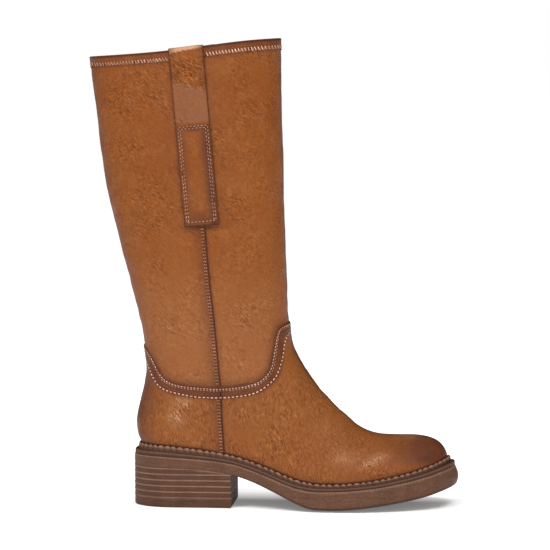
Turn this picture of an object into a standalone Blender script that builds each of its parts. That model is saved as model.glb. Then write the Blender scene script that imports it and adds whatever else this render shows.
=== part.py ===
"""Tall pull-on motorcycle boot for the right foot, built as a boot maker would put it together.

Metres, +Z up. The origin lies in the middle of the heel's resting face: +X runs to the toe, -Y to the
outer side of the foot and +Y to the inner side. Tables are in millimetres and are scaled as they are read.
"""

import math

import bmesh
import bpy
import numpy as np

MM = 0.001

# ---------------------------------------------------------------- driving sizes
WALL = 2.2 * MM              # leather and lining together
GAP = 0.3 * MM               # air left between two pieces that touch
FIT_GAP = 0.6 * MM           # air round the insole, which lies in a curved wall
AROUND = 64                  # corners round each section of the upper and the shaft
SHAFT_ROWS = 9
SOLE_AROUND = 96

HEEL_BREAST_X = 41.4 * MM    # flat front face of the heel block
HEEL_LIFT = 8.0 * MM         # thickness of the replaceable bottom layer
HEEL_TAPER = 0.94            # width of the heel's base over its width at the sole
HEEL_HEIGHT = 30.0 * MM      # from the floor to where the heel is as wide as the sole
HEEL_EDGE = 1.0 * MM         # easing of the lift's lower edge
INSOLE_THICK = 3.0 * MM

SOLE_CROWN = 2.2 * MM        # how far the tread's edge lifts off the floor across the ball
CROWN_START_X = 52 * MM
CROWN_FULL_X = 100 * MM
DECK_EDGE = 0.8 * MM         # easing of the sole's upper edge, and of the welt's
WELT_RIB = 2.0 * MM          # thickness of the upstanding rib against the upper
WELT_RIB_LEAN = 0.2 * MM     # how much wider the rib is at its foot
WELT_INSET = 0.4 * MM        # the welt's outer face lies this far inside the sole's

STRAP_WIDTH = 28.2 * MM
STRAP_THICK = 1.2 * MM
STRAP_INNER_RUN = 34 * MM    # how far the strap comes down inside the collar
STRAP_TOP_X = 6.2 * MM       # middle of the strap where it crosses the collar
STRAP_FOOT = (18.9 * MM, 233 * MM)   # x and z of the middle of its lower end
STRAP_FOLD_RISE = 0.5 * MM   # how far the fold's underside stands above the collar's edge
STRAP_RIM_DROP = 0.2 * MM    # the fold begins this far below the collar's edge
STRAP_PROBE_DROP = 1.0 * MM  # the leg's direction is taken this far below, clear of the edge

# The foot seen from above, at the edge where upper meets sole. Sides are given before the toe and heel
# ends are rounded in; axis is the line over which the last is highest.
PLAN_COLUMNS = ("x", "outer_y", "axis_y", "inner_y")
PLAN = (
    (-36, -27.4, 0.0, 27.4),
    (0, -27.6, 0.0, 27.6),
    (25, -27.4, 0.5, 26.4),
    (50, -28.2, 1.5, 23.4),
    (75, -32.4, 2.8, 24.4),
    (95, -37.3, 4.0, 29.4),
    (115, -40.4, 5.0, 35.6),
    (135, -40.8, 5.6, 40.0),
    (155, -39.2, 6.0, 42.4),
    (175, -37.0, 6.3, 43.0),
    (195, -34.6, 6.5, 42.2),
    (218, -31.0, 6.6, 40.5),
)
TOE_REACH = 78 * MM          # length over which the toe end rounds in
TOE_FULLNESS = 2.2
END_FULLNESS = 2.3           # of the heel end and of every section of the leg

# The sole seen from the side: its underside, its top edge, how far the welt's rib stands above that
# edge, how far the sole stands out beyond the upper, and how far its side flares towards the ground.
SOLE_COLUMNS = ("x", "under", "top", "rise", "margin", "flare")
SOLE = (
    (-42, 32.7, 42.3, 8.5, 8.0, 0.0),
    (-20, 32.8, 42.3, 8.4, 5.8, 0.0),
    (0, 32.6, 41.3, 8.1, 4.7, 0.0),
    (20, 31.2, 39.7, 7.3, 4.6, 0.0),
    (42, 27.5, 36.8, 6.4, 4.9, 0.0),
    (58, 22.6, 32.2, 6.5, 5.2, 0.2),
    (78, 13.2, 24.9, 6.7, 5.6, 0.4),
    (94, 5.3, 19.4, 6.4, 5.9, 0.6),
    (106, 0.8, 17.3, 5.8, 6.1, 0.8),
    (120, -1.4, 16.9, 5.2, 6.2, 1.0),
    (134, -0.2, 17.5, 5.1, 6.2, 1.1),
    (146, 1.5, 18.4, 5.2, 6.2, 1.3),
    (162, 4.1, 20.0, 5.5, 6.2, 1.5),
    (180, 7.2, 23.0, 6.0, 6.3, 1.8),
    (200, 10.8, 27.0, 7.0, 6.6, 2.4),
    (214, 14.4, 30.8, 8.0, 7.2, 3.0),
    (227, 17.8, 34.4, 8.8, 7.2, 3.4),
)

# Sections of the boot from the sole's edge to the collar. Each runs from a point of the back seam to a
# point of the front line; `half` is half its width as a leg, rounded in over the reaches at both ends.
RING_COLUMNS = ("name", "back_x", "back_z", "front_x", "front_z", "half", "back_reach", "front_reach")
RINGS = (
    ("feather", -34.4, 42.6, 216.9, 31.9, 28.0, 33, 60),
    ("rand", -35.8, 50.8, 217.8, 40.1, 28.5, 33, 60),
    ("toe_front", -37.6, 55.0, 214.7, 48.0, 29.2, 34, 60),
    ("toe_edge", -39.0, 59.2, 208.6, 54.0, 29.8, 35, 60),
    ("toe_top", -39.8, 64.0, 197.4, 57.4, 30.4, 36, 60),
    ("toe_box", -39.9, 69.0, 180.0, 57.9, 30.9, 37, 60),
    ("ball", -39.2, 75.0, 162.0, 58.6, 31.5, 38, 60),
    ("vamp", -37.8, 82.0, 146.2, 63.6, 32.2, 40, 60),
    ("low_instep", -35.8, 90.0, 128.2, 77.5, 33.0, 43, 60),
    ("instep", -33.6, 99.0, 111.2, 94.9, 33.8, 46, 60),
    ("throat", -32.3, 109.0, 98.2, 113.2, 34.3, 49, 60),
    ("ankle", -32.0, 120.0, 90.3, 130.2, 34.6, 52, 61),
    ("yoke", -33.5, 134.0, 87.0, 148.0, 35.2, 56, 61),
    ("low_shin", -40.7, 169.0, 85.0, 178.0, 36.8, 63, 64),
    ("shin", -52.2, 214.0, 83.5, 222.0, 38.8, 68, 69),
    ("calf", -63.6, 260.0, 82.0, 270.0, 40.6, 72, 74),
    ("high_calf", -71.6, 316.0, 80.4, 328.0, 41.8, 76, 77),
    ("collar", -77.8, 369.7, 79.6, 384.9, 42.4, 79, 78),
)
CREST_FULLNESS = 2.3         # how boxy a cut across the forefoot is
CREST_SLOPE = 2.2            # rise over run of the line that carries the foot's top on behind the throat
SIDE_SWELL = 0.035           # how far the leather swells out above the welt
SWELL_HEIGHT = 26 * MM
LEG_START, LEG_FULL = 8 * MM, 92 * MM     # heights above the sole between which foot turns into leg
INSTEP_SLOPE = (0.84, -0.54)              # direction in the side view, down the foot from leg to toe
INSTEP_START, INSTEP_FULL = 15 * MM, 65 * MM
AXIS_LOW, AXIS_FADE = 60 * MM, 60 * MM    # above this height the axis line straightens over this height
AXIS_TOE, AXIS_TOE_FADE = 130 * MM, 60 * MM   # and behind this x, over this length

# The collar's edge dips behind the side seam and rises a little before it: the drop below a straight line
# at thousandths of the way from back to front.
COLLAR_COLUMNS = ("share", "drop")
COLLAR = ((0, 0.0), (150, 0.9), (300, 1.5), (500, 1.4), (700, 0.2), (850, -0.4), (1000, 0.0))

# Line along which the foot part meets the leg, the same on both sides.
YOKE_COLUMNS = ("x", "z")
YOKE = (
    (-36, 134.0),
    (-29.6, 129.4),
    (-22.8, 120.8),
    (-17.6, 112.0),
    (-11.0, 105.6),
    (-1.0, 102.2),
    (14.0, 100.7),
    (32.0, 100.1),
    (47.0, 101.3),
    (57.6, 103.4),
    (65.4, 106.7),
    (71.0, 112.4),
    (74.2, 121.5),
    (76.1, 134.5),
    (78.0, 144.0),
    (81.6, 149.2),
    (88.4, 151.8),
)

COLOURS = {
    "tan_leather": ((0.33, 0.125, 0.042), 0.5),
    "brown_rubber": ((0.17, 0.095, 0.06), 0.65),
    "stacked_heel": ((0.17, 0.095, 0.058), 0.6),
    "insole_board": ((0.42, 0.30, 0.19), 0.8),
}


# ---------------------------------------------------------------- helpers
def column(columns, table, name):
    """One named column of a table, scaled to metres."""
    index = columns.index(name)
    return np.array([row[index] for row in table], float) * MM


def spline(knots, values, at):
    """Natural cubic spline: the smooth curve through the knots that is straight at both ends."""
    count = len(knots)
    step = np.diff(knots)
    slope = np.diff(values) / step
    system = np.eye(count)
    right = np.zeros(count)
    for i in range(1, count - 1):
        system[i, i - 1 : i + 2] = step[i - 1], 2 * (step[i - 1] + step[i]), step[i]
        right[i] = 6 * (slope[i] - slope[i - 1])
    bend = np.linalg.solve(system, right)
    at = np.clip(at, knots[0], knots[-1])
    i = np.clip(np.searchsorted(knots, at) - 1, 0, count - 2)
    past = at - knots[i]
    left = knots[i + 1] - at
    curved = (bend[i] * left**3 + bend[i + 1] * past**3) / (6 * step[i])
    start = values[i] / step[i] - bend[i] * step[i] / 6
    end = values[i + 1] / step[i] - bend[i + 1] * step[i] / 6
    return curved + start * left + end * past


def ease(value):
    """0 below 0, 1 above 1, and a smooth S between."""
    value = np.clip(value, 0, 1)
    return value * value * (3 - 2 * value)


def round_in(distance, reach, fullness):
    """Share of the full width this far from an end: 0 at the end, 1 from `reach` on, a superellipse between."""
    ratio = 1 - np.clip(distance / reach, 0, 1)
    return (1 - ratio**fullness) ** (1 / fullness)


def plan(name, x):
    return spline(column(PLAN_COLUMNS, PLAN, "x"), column(PLAN_COLUMNS, PLAN, name), x)


def sole(name, x):
    return spline(column(SOLE_COLUMNS, SOLE, "x"), column(SOLE_COLUMNS, SOLE, name), x)


def rand_height(x):
    """Height of the line along which the welt's rib ends against the upper."""
    return sole("top", x) + sole("rise", x)


def underside(x):
    """Height of the tread's middle: the curve of the table, cut flat where it reaches the floor."""
    return np.maximum(sole("under", x), 0)


# ---------------------------------------------------------------- the last
def ring_levels():
    """How far up the boot each section lies: the mean of the ways walked up its back and front."""
    back = np.hypot(np.diff(rings("back_x")), np.diff(rings("back_z")))
    front = np.hypot(np.diff(rings("front_x")), np.diff(rings("front_z")))
    return np.concatenate([[0], np.cumsum((back + front) / 2)])


def rings(name):
    return column(RING_COLUMNS, RINGS, name)


LEVELS = ring_levels()
LEVEL_OF = {row[0]: level for row, level in zip(RINGS, LEVELS)}
UPPER_RINGS = [row[0] for row in RINGS[1:13]]


def ring(name, level):
    return spline(LEVELS, rings(name), level)


CREST_LEVELS = np.linspace(LEVEL_OF["throat"], LEVEL_OF["rand"], 500)
CREST_X = ring("front_x", CREST_LEVELS)
CREST_Z = ring("front_z", CREST_LEVELS)


def side_view(share, level):
    """x and z at `share` of the way from back to front of a section. The lowest sections follow the sole's
    curved edge, and higher ones grow straight."""
    back_x, front_x = ring("back_x", level), ring("front_x", level)
    back_z, front_z = ring("back_z", level), ring("front_z", level)
    x = back_x + (front_x - back_x) * share
    chord = back_z + (front_z - back_z) * share
    rand = LEVEL_OF["rand"]
    rand_back, rand_front = ring("back_x", rand), ring("front_x", rand)
    rand_x = rand_back + (rand_front - rand_back) * share
    edge_back, edge_front, edge = rand_height(rand_back), rand_height(rand_front), rand_height(rand_x)
    sag = edge_back + (edge_front - edge_back) * share - edge
    above = chord - sag * (1 - ease((level - rand) / (LEVEL_OF["instep"] - rand)))
    drop = spline(column(COLLAR_COLUMNS, COLLAR, "share"), column(COLLAR_COLUMNS, COLLAR, "drop"), share)
    above = above - drop * ease((level - LEVEL_OF["high_calf"]) / (LEVELS[-1] - LEVEL_OF["high_calf"]))
    below = sole("top", x) + GAP + (sole("rise", x) - GAP) * level / rand
    return x, np.where(level < rand, below, above)


def crest_height(x):
    """Height of the foot's top line over x, carried on steeply behind the throat."""
    steep = CREST_Z[0] + CREST_SLOPE * (CREST_X[0] - x)
    return np.where(x < CREST_X[0], steep, np.interp(x, CREST_X, CREST_Z))


def half_width(share, level, x, z, outer):
    """How far the surface stands from the axis line at one side of a section.

    Foot: the plan's width, rounded in at the toe and domed towards the top line. Leg: the section's own
    width, rounded in at its front. The two fade into each other across the instep.
    """
    length = ring("front_x", level) - ring("back_x", level)
    height = z - sole("top", x)
    axis = plan("axis_y", x)
    foot = np.where(outer, axis - plan("outer_y", x), plan("inner_y", x) - axis)
    swell = 1 + SIDE_SWELL * np.sin(math.pi * np.clip(height / SWELL_HEIGHT, 0, 1))
    leg_part = ease((height - LEG_START) / (LEG_FULL - LEG_START))
    body = foot * swell * (1 - leg_part) + ring("half", level) * leg_part
    crest = np.clip(height / (crest_height(x) - sole("top", x)), 0, 1)
    toe_tip = ring("front_x", np.minimum(level, LEVEL_OF["rand"]))
    dome = round_in(toe_tip - x, TOE_REACH, TOE_FULLNESS) * (1 - crest**CREST_FULLNESS) ** 0.5
    front = round_in((1 - share) * length, ring("front_reach", level), END_FULLNESS)
    along = INSTEP_SLOPE[0] * x + INSTEP_SLOPE[1] * z
    toe_part = ease((along - INSTEP_START) / (INSTEP_FULL - INSTEP_START))
    ahead = np.sqrt(dome**2 * toe_part + front**2 * (1 - toe_part))
    return body * ahead * round_in(share * length, ring("back_reach", level), END_FULLNESS)


def axis_line(x, z):
    """y of the line over which a section is drawn: medial over the foot, central up the leg."""
    straight = ease((z - AXIS_LOW) / AXIS_FADE) * ease((AXIS_TOE - x) / AXIS_TOE_FADE)
    return plan("axis_y", x) * (1 - straight)


def skin(angle, level):
    """Points of the boot's outer face. The angle runs round a section from the back seam (0) along the
    outer side to the front (pi) and home along the inner side; the level runs up the boot."""
    angle, level = np.broadcast_arrays(np.asarray(angle, float), np.asarray(level, float))
    share = (1 - np.cos(angle)) / 2
    x, z = side_view(share, level)
    outer = np.sin(angle) > 0
    width = half_width(share, level, x, z, outer)
    return np.stack([x, axis_line(x, z) + np.where(outer, -width, width), z], -1)


def level_through(x, z):
    """Level of the section that passes through a point of the side view, by halving."""
    low = np.zeros(np.shape(x))
    high = np.full(np.shape(x), LEVELS[-1] * 1.0)
    for _ in range(40):
        middle = (low + high) / 2
        back_x, front_x = ring("back_x", middle), ring("front_x", middle)
        share = np.clip((x - back_x) / (front_x - back_x), 0, 1)
        below = side_view(share, middle)[1] < z
        low, high = np.where(below, middle, low), np.where(below, high, middle)
    return (low + high) / 2


def side_skin(x, z, outer):
    """Points of the outer face over x and z of the side view, on one side."""
    level = level_through(x, z)
    back_x, front_x = ring("back_x", level), ring("front_x", level)
    share = np.clip((x - back_x) / (front_x - back_x), 0, 1)
    width = half_width(share, level, x, z, outer)
    return np.stack([x, axis_line(x, z) + np.where(outer, -width, width), z], -1)


def unit(vectors):
    return vectors / np.linalg.norm(vectors, axis=-1, keepdims=True)


def side_normal(x, z, outer):
    """Outward normals there, from the slopes of the surface."""
    step = 0.4 * MM
    along = side_skin(x + step, z, outer) - side_skin(x - step, z, outer)
    up = side_skin(x, z + step, outer) - side_skin(x, z - step, outer)
    return unit(np.cross(along, up) if outer else np.cross(up, along))


def yoke_level(angle):
    """Level at which each angle crosses the yoke line, found on a fine ladder of levels."""
    ladder = np.linspace(LEVEL_OF["low_instep"], LEVEL_OF["low_shin"], 400)[:, None]
    share = (1 - np.cos(angle)) / 2
    x, z = side_view(share, ladder)
    line = spline(column(YOKE_COLUMNS, YOKE, "x"), column(YOKE_COLUMNS, YOKE, "z"), x)
    first = np.argmax(z > line, axis=0)
    pick = (first, np.arange(len(angle)))
    before = (first - 1, np.arange(len(angle)))
    rise = (line - z)[before] / ((z - line)[pick] + (line - z)[before])
    return ladder[first - 1, 0] + rise * (ladder[first, 0] - ladder[first - 1, 0])


def yoke_clearance(angle, level):
    """Level step that leaves GAP square to the yoke line, which runs steeply at the front."""
    step = 0.5 * MM
    line = skin(angle, level)
    run = unit(np.roll(line, -1, axis=0) - np.roll(line, 1, axis=0))
    rise = (skin(angle, level + step) - skin(angle, level - step)) / (2 * step)
    square = rise - np.sum(rise * run, -1, keepdims=True) * run
    return GAP / np.linalg.norm(square, axis=-1)


# ---------------------------------------------------------------- outlines of the sole
def feather_edge(angle):
    return skin(angle, np.zeros(np.shape(angle)))


def outward(angle):
    """Directions square to the feather edge, seen from above."""
    step = 0.001
    ahead = feather_edge(angle + step) - feather_edge(angle - step)
    return unit(np.stack([ahead[:, 1], -ahead[:, 0]], -1))


def outline(angle, margin):
    """The feather edge moved outwards by a margin, seen from above."""
    return feather_edge(angle)[:, :2] + outward(angle) * np.reshape(margin, (-1, 1))


def margin_at(angle, share=1.0, extra=0.0):
    """The sole's width beyond the upper at each angle, with a share of it or an extra."""
    return sole("margin", feather_edge(angle)[:, 0]) * share + extra


def turn(count):
    return np.arange(count) * 2 * math.pi / count


# ---------------------------------------------------------------- meshes and objects
def new_material(name):
    colour, roughness = COLOURS[name]
    material = bpy.data.materials.new(name)
    material.use_nodes = True
    shader = material.node_tree.nodes["Principled BSDF"]
    shader.inputs["Base Color"].default_value = (*colour, 1)
    shader.inputs["Roughness"].default_value = roughness
    shader.inputs["Metallic"].default_value = 0
    return material


def new_object(name, points, faces, collection, material, sharp=35):
    mesh = bpy.data.meshes.new(name)
    mesh.from_pydata([tuple(point) for point in points], [], faces)
    mesh.validate()
    shape = bmesh.new()
    shape.from_mesh(mesh)
    bmesh.ops.remove_doubles(shape, verts=shape.verts, dist=0.00001)
    shape.to_mesh(mesh)
    shape.free()
    mesh.shade_smooth()
    mesh.set_sharp_from_angle(angle=math.radians(sharp))
    mesh.materials.append(material)
    piece = bpy.data.objects.new(name, mesh)
    collection.objects.link(piece)
    return piece


def band_faces(rows, around):
    """Quads between rows of corners that close on themselves."""
    faces = []
    for row in range(rows - 1):
        for i in range(around):
            j = (i + 1) % around
            faces.append((row * around + i, row * around + j, (row + 1) * around + j, (row + 1) * around + i))
    return faces


def ladder_faces(start, around, upwards):
    """A cap of quads from side to side across a closed row that begins at the back."""
    faces = []
    for i in range(around // 2):
        a, b = start + i, start + i + 1
        c, d = start + (around - i - 1), start + (around - i) % around
        corners = [a, b, c, d]
        corners = [corner for n, corner in enumerate(corners) if corner not in corners[:n]]
        faces.append(tuple(corners if upwards else corners[::-1]))
    return faces


def solid_from_rows(rows):
    """Corners and faces of a closed body through rows from its underside up to its top."""
    around = len(rows[0])
    points = np.concatenate(rows)
    faces = band_faces(len(rows), around)
    faces += ladder_faces(0, around, upwards=False)
    faces += ladder_faces((len(rows) - 1) * around, around, upwards=True)
    return points, faces


def add_wall(piece, thickness, outwards=False):
    wall = piece.modifiers.new("wall", "SOLIDIFY")
    wall.thickness = thickness
    wall.offset = 1 if outwards else -1
    wall.use_even_offset = True
    wall.use_quality_normals = True


def with_height(flat, height):
    return np.column_stack([flat, height])


# ---------------------------------------------------------------- the pieces
def build_upper(collection, material):
    """Foot part: one curved wall from the sole's edge to the yoke line, open at both."""
    angle = turn(AROUND)
    rand = LEVEL_OF["rand"]
    yoke = yoke_level(angle)
    rows = [skin(angle, np.zeros(AROUND))]
    for name in UPPER_RINGS:
        share = (LEVEL_OF[name] - rand) / (LEVEL_OF["yoke"] - rand)
        rows.append(skin(angle, rand + (yoke - rand) * share))
    piece = new_object("upper", np.concatenate(rows), band_faces(len(rows), AROUND), collection, material)
    add_wall(piece, WALL)


def build_shaft(collection, material):
    """Leg tube: from the yoke line to the collar, open at both ends."""
    angle = turn(AROUND)
    yoke = yoke_level(angle)
    start = yoke + yoke_clearance(angle, yoke)
    rows = [skin(angle, start + (LEVELS[-1] - start) * share) for share in np.linspace(0, 1, SHAFT_ROWS)]
    piece = new_object("shaft", np.concatenate(rows), band_faces(SHAFT_ROWS, AROUND), collection, material)
    add_wall(piece, WALL)


def build_outsole(collection, material):
    """Sole unit: rounded tread edge, flaring side wall and flat deck, along the whole foot."""
    angle = turn(SOLE_AROUND)
    margin = margin_at(angle)
    foot_x = feather_edge(angle)[:, 0]
    crown = SOLE_CROWN * ease((foot_x - CROWN_START_X) / (CROWN_FULL_X - CROWN_START_X))
    flare = sole("flare", foot_x)
    # Rows round the tread: way out from the wall's foot, share of the crown, height over the underside.
    tread = ((-15 * MM, 0.0, 0.0), (-5 * MM, 0.45, 0.0), (-1.2 * MM, 0.85, 0.3 * MM), (0.0, 1.0, 1.5 * MM))
    rows = []
    for inset, crown_share, lift in tread:
        flat = outline(angle, margin + flare + inset)
        rows.append(with_height(flat, underside(flat[:, 0]) + crown * crown_share + lift))
    side = outline(angle, margin)
    rows.append(with_height(side, sole("top", side[:, 0]) - DECK_EDGE))
    deck = outline(angle, margin - DECK_EDGE / 2)
    rows.append(with_height(deck, sole("top", deck[:, 0])))
    new_object("outsole", *solid_from_rows(rows), collection, material)


def build_welt(collection, material):
    """Welt strip all round: a ledge on the sole's edge and an upstanding rib against the upper."""
    angle = turn(AROUND)
    foot = feather_edge(angle)
    rand = skin(angle, LEVEL_OF["rand"])
    edge = margin_at(angle) - WELT_INSET
    # Profile of the strip: the line it is measured from, the way out from there and the share of its height.
    profile = (
        (foot, np.full(AROUND, GAP), 0.0),
        (foot, edge, 0.0),
        (foot, edge, 0.34),
        (foot, edge - DECK_EDGE, 0.45),
        (rand, np.full(AROUND, GAP + WELT_RIB + WELT_RIB_LEAN), 0.52),
        (rand, np.full(AROUND, GAP + WELT_RIB), 0.9),
        (rand, np.full(AROUND, GAP + WELT_RIB / 2), 1.0),
        (rand, np.full(AROUND, GAP), 0.97),
    )
    rows = []
    for line, distance, share in profile:
        flat = line[:, :2] + outward(angle) * distance[:, None]
        rise = GAP + (sole("rise", flat[:, 0]) - GAP) * share
        rows.append(with_height(flat, sole("top", flat[:, 0]) + rise))
    faces = band_faces(len(rows) + 1, AROUND)
    corners = len(rows) * AROUND
    faces = [tuple(corner % corners for corner in face) for face in faces]
    new_object("welt", np.concatenate(rows), faces, collection, material)


def build_insole(collection, material):
    """Footbed board that lies on the sole inside the upper's wall."""
    angle = turn(AROUND)
    flat = outline(angle, np.full(AROUND, -WALL - FIT_GAP))
    base = sole("top", flat[:, 0]) + GAP
    rows = [with_height(flat, base), with_height(flat, base + INSOLE_THICK)]
    new_object("insole", *solid_from_rows(rows), collection, material)


def heel_outline(margin_extra, taper, count=28):
    """Back of the sole's outline, closed by the straight breast, from the outer corner round the back."""
    feather = feather_edge(np.array([0.0, math.pi]))[:, 0]
    share = (HEEL_BREAST_X - feather[0]) / (feather[1] - feather[0])
    breast_angle = math.acos(1 - 2 * share)
    angle = np.linspace(breast_angle, -breast_angle, count)
    flat = outline(angle, margin_at(angle, extra=margin_extra))
    flat[[0, -1], 0] = HEEL_BREAST_X + margin_extra
    flat[:, 1] *= taper
    return flat


def prism_faces(rows, around):
    """Faces of a body through closed rows whose ends are single flat polygons."""
    faces = [face[::-1] for face in band_faces(rows, around)]
    faces.append(tuple(range(around)))
    faces.append(tuple((rows - 1) * around + i for i in reversed(range(around))))
    return faces


def heel_taper_at(height):
    """Width of the heel at a height, from the base's share up to 1 under the sole."""
    return HEEL_TAPER + (1 - HEEL_TAPER) * height / HEEL_HEIGHT


def build_heel(collection, material):
    """Stacked heel block between the bottom layer and the sole's seat, with a flat breast."""
    low = heel_outline(0, heel_taper_at(HEEL_LIFT))
    high = heel_outline(0, 1)
    count = len(low)
    rows = [with_height(low, np.full(count, HEEL_LIFT)), with_height(high, underside(high[:, 0]) - GAP)]
    faces = [face[::-1] for face in band_faces(2, count)]
    faces.append(tuple(range(count)))
    # The top follows the seat's curve, so it is a ladder of faces from the outer side to the inner.
    for i in range(count // 2):
        corners = (count + i, count + i + 1, 2 * count - 2 - i, 2 * count - 1 - i)
        kept = [corner for n, corner in enumerate(corners) if corner not in corners[:n]]
        if len(kept) > 2:
            faces.append(tuple(reversed(kept)))
    new_object("heel", np.concatenate(rows), faces, collection, material)


def build_heel_lift(collection, material):
    """Replaceable bottom layer of the heel, with an eased lower edge."""
    heights = ((0.0, -HEEL_EDGE), (HEEL_EDGE, 0.0), (HEEL_LIFT - GAP, 0.0))
    rows = []
    for height, extra in heights:
        flat = heel_outline(extra, heel_taper_at(height))
        rows.append(with_height(flat, np.full(len(flat), height)))
    points = np.concatenate(rows)
    new_object("heel_lift", points, prism_faces(3, len(rows[0])), collection, material)


def collar_height(x):
    """z of the collar's edge over x."""
    back_x, front_x = rings("back_x")[-1], rings("front_x")[-1]
    return side_view((x - back_x) / (front_x - back_x), LEVELS[-1])[1]


def strap_middle(height):
    """x of the strap's middle line at a height."""
    share = (height - STRAP_FOOT[1]) / (collar_height(STRAP_TOP_X) - STRAP_FOOT[1])
    return STRAP_FOOT[0] + (STRAP_TOP_X - STRAP_FOOT[0]) * share


def build_pull_strap(collection, material, name, outer):
    """Pull strap: flat on the leg, folded over the collar and a little way down inside."""
    across = np.linspace(-STRAP_WIDTH / 2, STRAP_WIDTH / 2, 5)
    start = collar_height(STRAP_TOP_X + across) - STRAP_RIM_DROP
    rim = side_skin(STRAP_TOP_X + across, start, outer)
    square = side_normal(STRAP_TOP_X + across, start - STRAP_PROBE_DROP, outer)
    rows = []
    for share in np.linspace(0, 1, 12)[:-1]:
        height = STRAP_FOOT[1] + (start - STRAP_FOOT[1]) * share
        x = strap_middle(height) + across
        rows.append(side_skin(x, height, outer) + side_normal(x, height - STRAP_PROBE_DROP, outer) * GAP)
    rows.append(rim + square * GAP)
    up = unit(rows[-1] - rows[-2])
    core = rim - square * WALL / 2
    for bend in np.linspace(0, math.pi, 7)[1:]:
        rows.append(core + square * (WALL / 2 + GAP) * math.cos(bend) + up * STRAP_FOLD_RISE * math.sin(bend))
    for share in np.linspace(0, 1, 5)[1:]:
        height = start - STRAP_INNER_RUN * share
        x = strap_middle(height) + across
        inward = side_normal(x, height - STRAP_PROBE_DROP, outer) * (WALL + GAP)
        rows.append(side_skin(x, height, outer) - inward)
    wide = len(across)
    faces = []
    for row in range(len(rows) - 1):
        for i in range(wide - 1):
            corner = row * wide + i
            face = (corner, corner + 1, corner + wide + 1, corner + wide)
            faces.append(face if outer else face[::-1])
    piece = new_object(name, np.concatenate(rows), faces, collection, material)
    add_wall(piece, STRAP_THICK, outwards=True)


def main():
    for old in list(bpy.data.objects):
        bpy.data.objects.remove(old, do_unlink=True)
    collection = bpy.data.collections.new("motorcycle_boot")
    bpy.context.scene.collection.children.link(collection)
    leather = new_material("tan_leather")
    rubber = new_material("brown_rubber")
    stacked = new_material("stacked_heel")
    board = new_material("insole_board")
    build_upper(collection, leather)
    build_shaft(collection, leather)
    build_outsole(collection, rubber)
    build_welt(collection, rubber)
    build_heel(collection, stacked)
    build_heel_lift(collection, stacked)
    build_insole(collection, board)
    build_pull_strap(collection, leather, "pull_strap_outer", True)
    build_pull_strap(collection, leather, "pull_strap_inner", False)


main()
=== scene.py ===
"""Looks of a tall pull-on motorcycle boot for the right foot, built round its packed CAD frame.

Metres, +Z up, the CAD's own frame: the origin lies in the middle of the heel's resting face, +X runs to
the toe, -Y to the outer side of the foot and +Y to the inner side. Every surface is a function of an angle
round the boot and a level up it, worked out on a grid. Tables are in millimetres and scaled as they are read.
"""

import functools
import math

import bpy
import numpy as np
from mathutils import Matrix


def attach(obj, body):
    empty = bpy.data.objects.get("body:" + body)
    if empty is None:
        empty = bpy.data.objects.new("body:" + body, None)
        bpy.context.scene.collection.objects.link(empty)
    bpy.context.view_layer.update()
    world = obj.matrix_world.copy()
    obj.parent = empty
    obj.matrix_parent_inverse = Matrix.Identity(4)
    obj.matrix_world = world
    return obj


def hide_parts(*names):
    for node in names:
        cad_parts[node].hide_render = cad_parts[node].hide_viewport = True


bl_info = {
    "name": "Motorcycle Boot",
    "version": (1, 0, 0),
    "blender": (4, 5, 0),
    "location": "View3D > Sidebar > Boot",
    "description": "Builds the leather, sole, heel, stitching and stage of a tall motorcycle boot",
    "category": "Object",
}

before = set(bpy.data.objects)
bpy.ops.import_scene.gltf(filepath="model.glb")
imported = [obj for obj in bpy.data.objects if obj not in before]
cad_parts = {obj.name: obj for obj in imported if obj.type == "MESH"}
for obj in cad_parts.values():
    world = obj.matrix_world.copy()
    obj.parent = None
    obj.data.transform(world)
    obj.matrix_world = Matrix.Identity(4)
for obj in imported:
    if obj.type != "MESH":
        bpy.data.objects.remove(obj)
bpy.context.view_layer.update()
MM = 0.001
TURN = 2 * math.pi

# ---------------------------------------------------------------- sizes of the CAD that the looks repeat
WALL = 2.2 * MM              # leather and lining together
GAP = 0.3 * MM               # air left between two pieces that touch
FIT_GAP = 0.6 * MM           # air round the insole
HEEL_BREAST_X = 41.4 * MM    # flat front face of the heel block
HEEL_LIFT = 8.0 * MM         # thickness of the replaceable bottom layer
HEEL_TAPER = 0.94            # width of the heel's base over its width at the sole
HEEL_HEIGHT = 30.0 * MM      # from the floor to where the heel is as wide as the sole
SOLE_CROWN = 2.2 * MM        # how far the tread's edge lifts off the floor across the ball
CROWN_START_X = 52 * MM
CROWN_FULL_X = 100 * MM
WELT_RIB = 2.0 * MM          # thickness of the upstanding rib against the upper
WELT_INSET = 0.4 * MM        # the welt's outer face lies this far inside the sole's
STRAP_WIDTH = 28.2 * MM
STRAP_THICK = 1.2 * MM
STRAP_INNER_RUN = 34 * MM    # how far the strap comes down inside the collar
STRAP_TOP_X = 6.2 * MM       # middle of the strap where it crosses the collar
STRAP_FOOT = (18.9 * MM, 233 * MM)   # x and z of the middle of its lower end
STRAP_FOLD_RISE = 0.5 * MM

# The foot seen from above, at the edge where upper meets sole.
PLAN_COLUMNS = ("x", "outer_y", "axis_y", "inner_y")
PLAN = (
    (-36, -27.4, 0.0, 27.4),
    (0, -27.6, 0.0, 27.6),
    (25, -27.4, 0.5, 26.4),
    (50, -28.2, 1.5, 23.4),
    (75, -32.4, 2.8, 24.4),
    (95, -37.3, 4.0, 29.4),
    (115, -40.4, 5.0, 35.6),
    (135, -40.8, 5.6, 40.0),
    (155, -39.2, 6.0, 42.4),
    (175, -37.0, 6.3, 43.0),
    (195, -34.6, 6.5, 42.2),
    (218, -31.0, 6.6, 40.5),
)
TOE_REACH = 78 * MM
TOE_FULLNESS = 2.2
END_FULLNESS = 2.3

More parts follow.
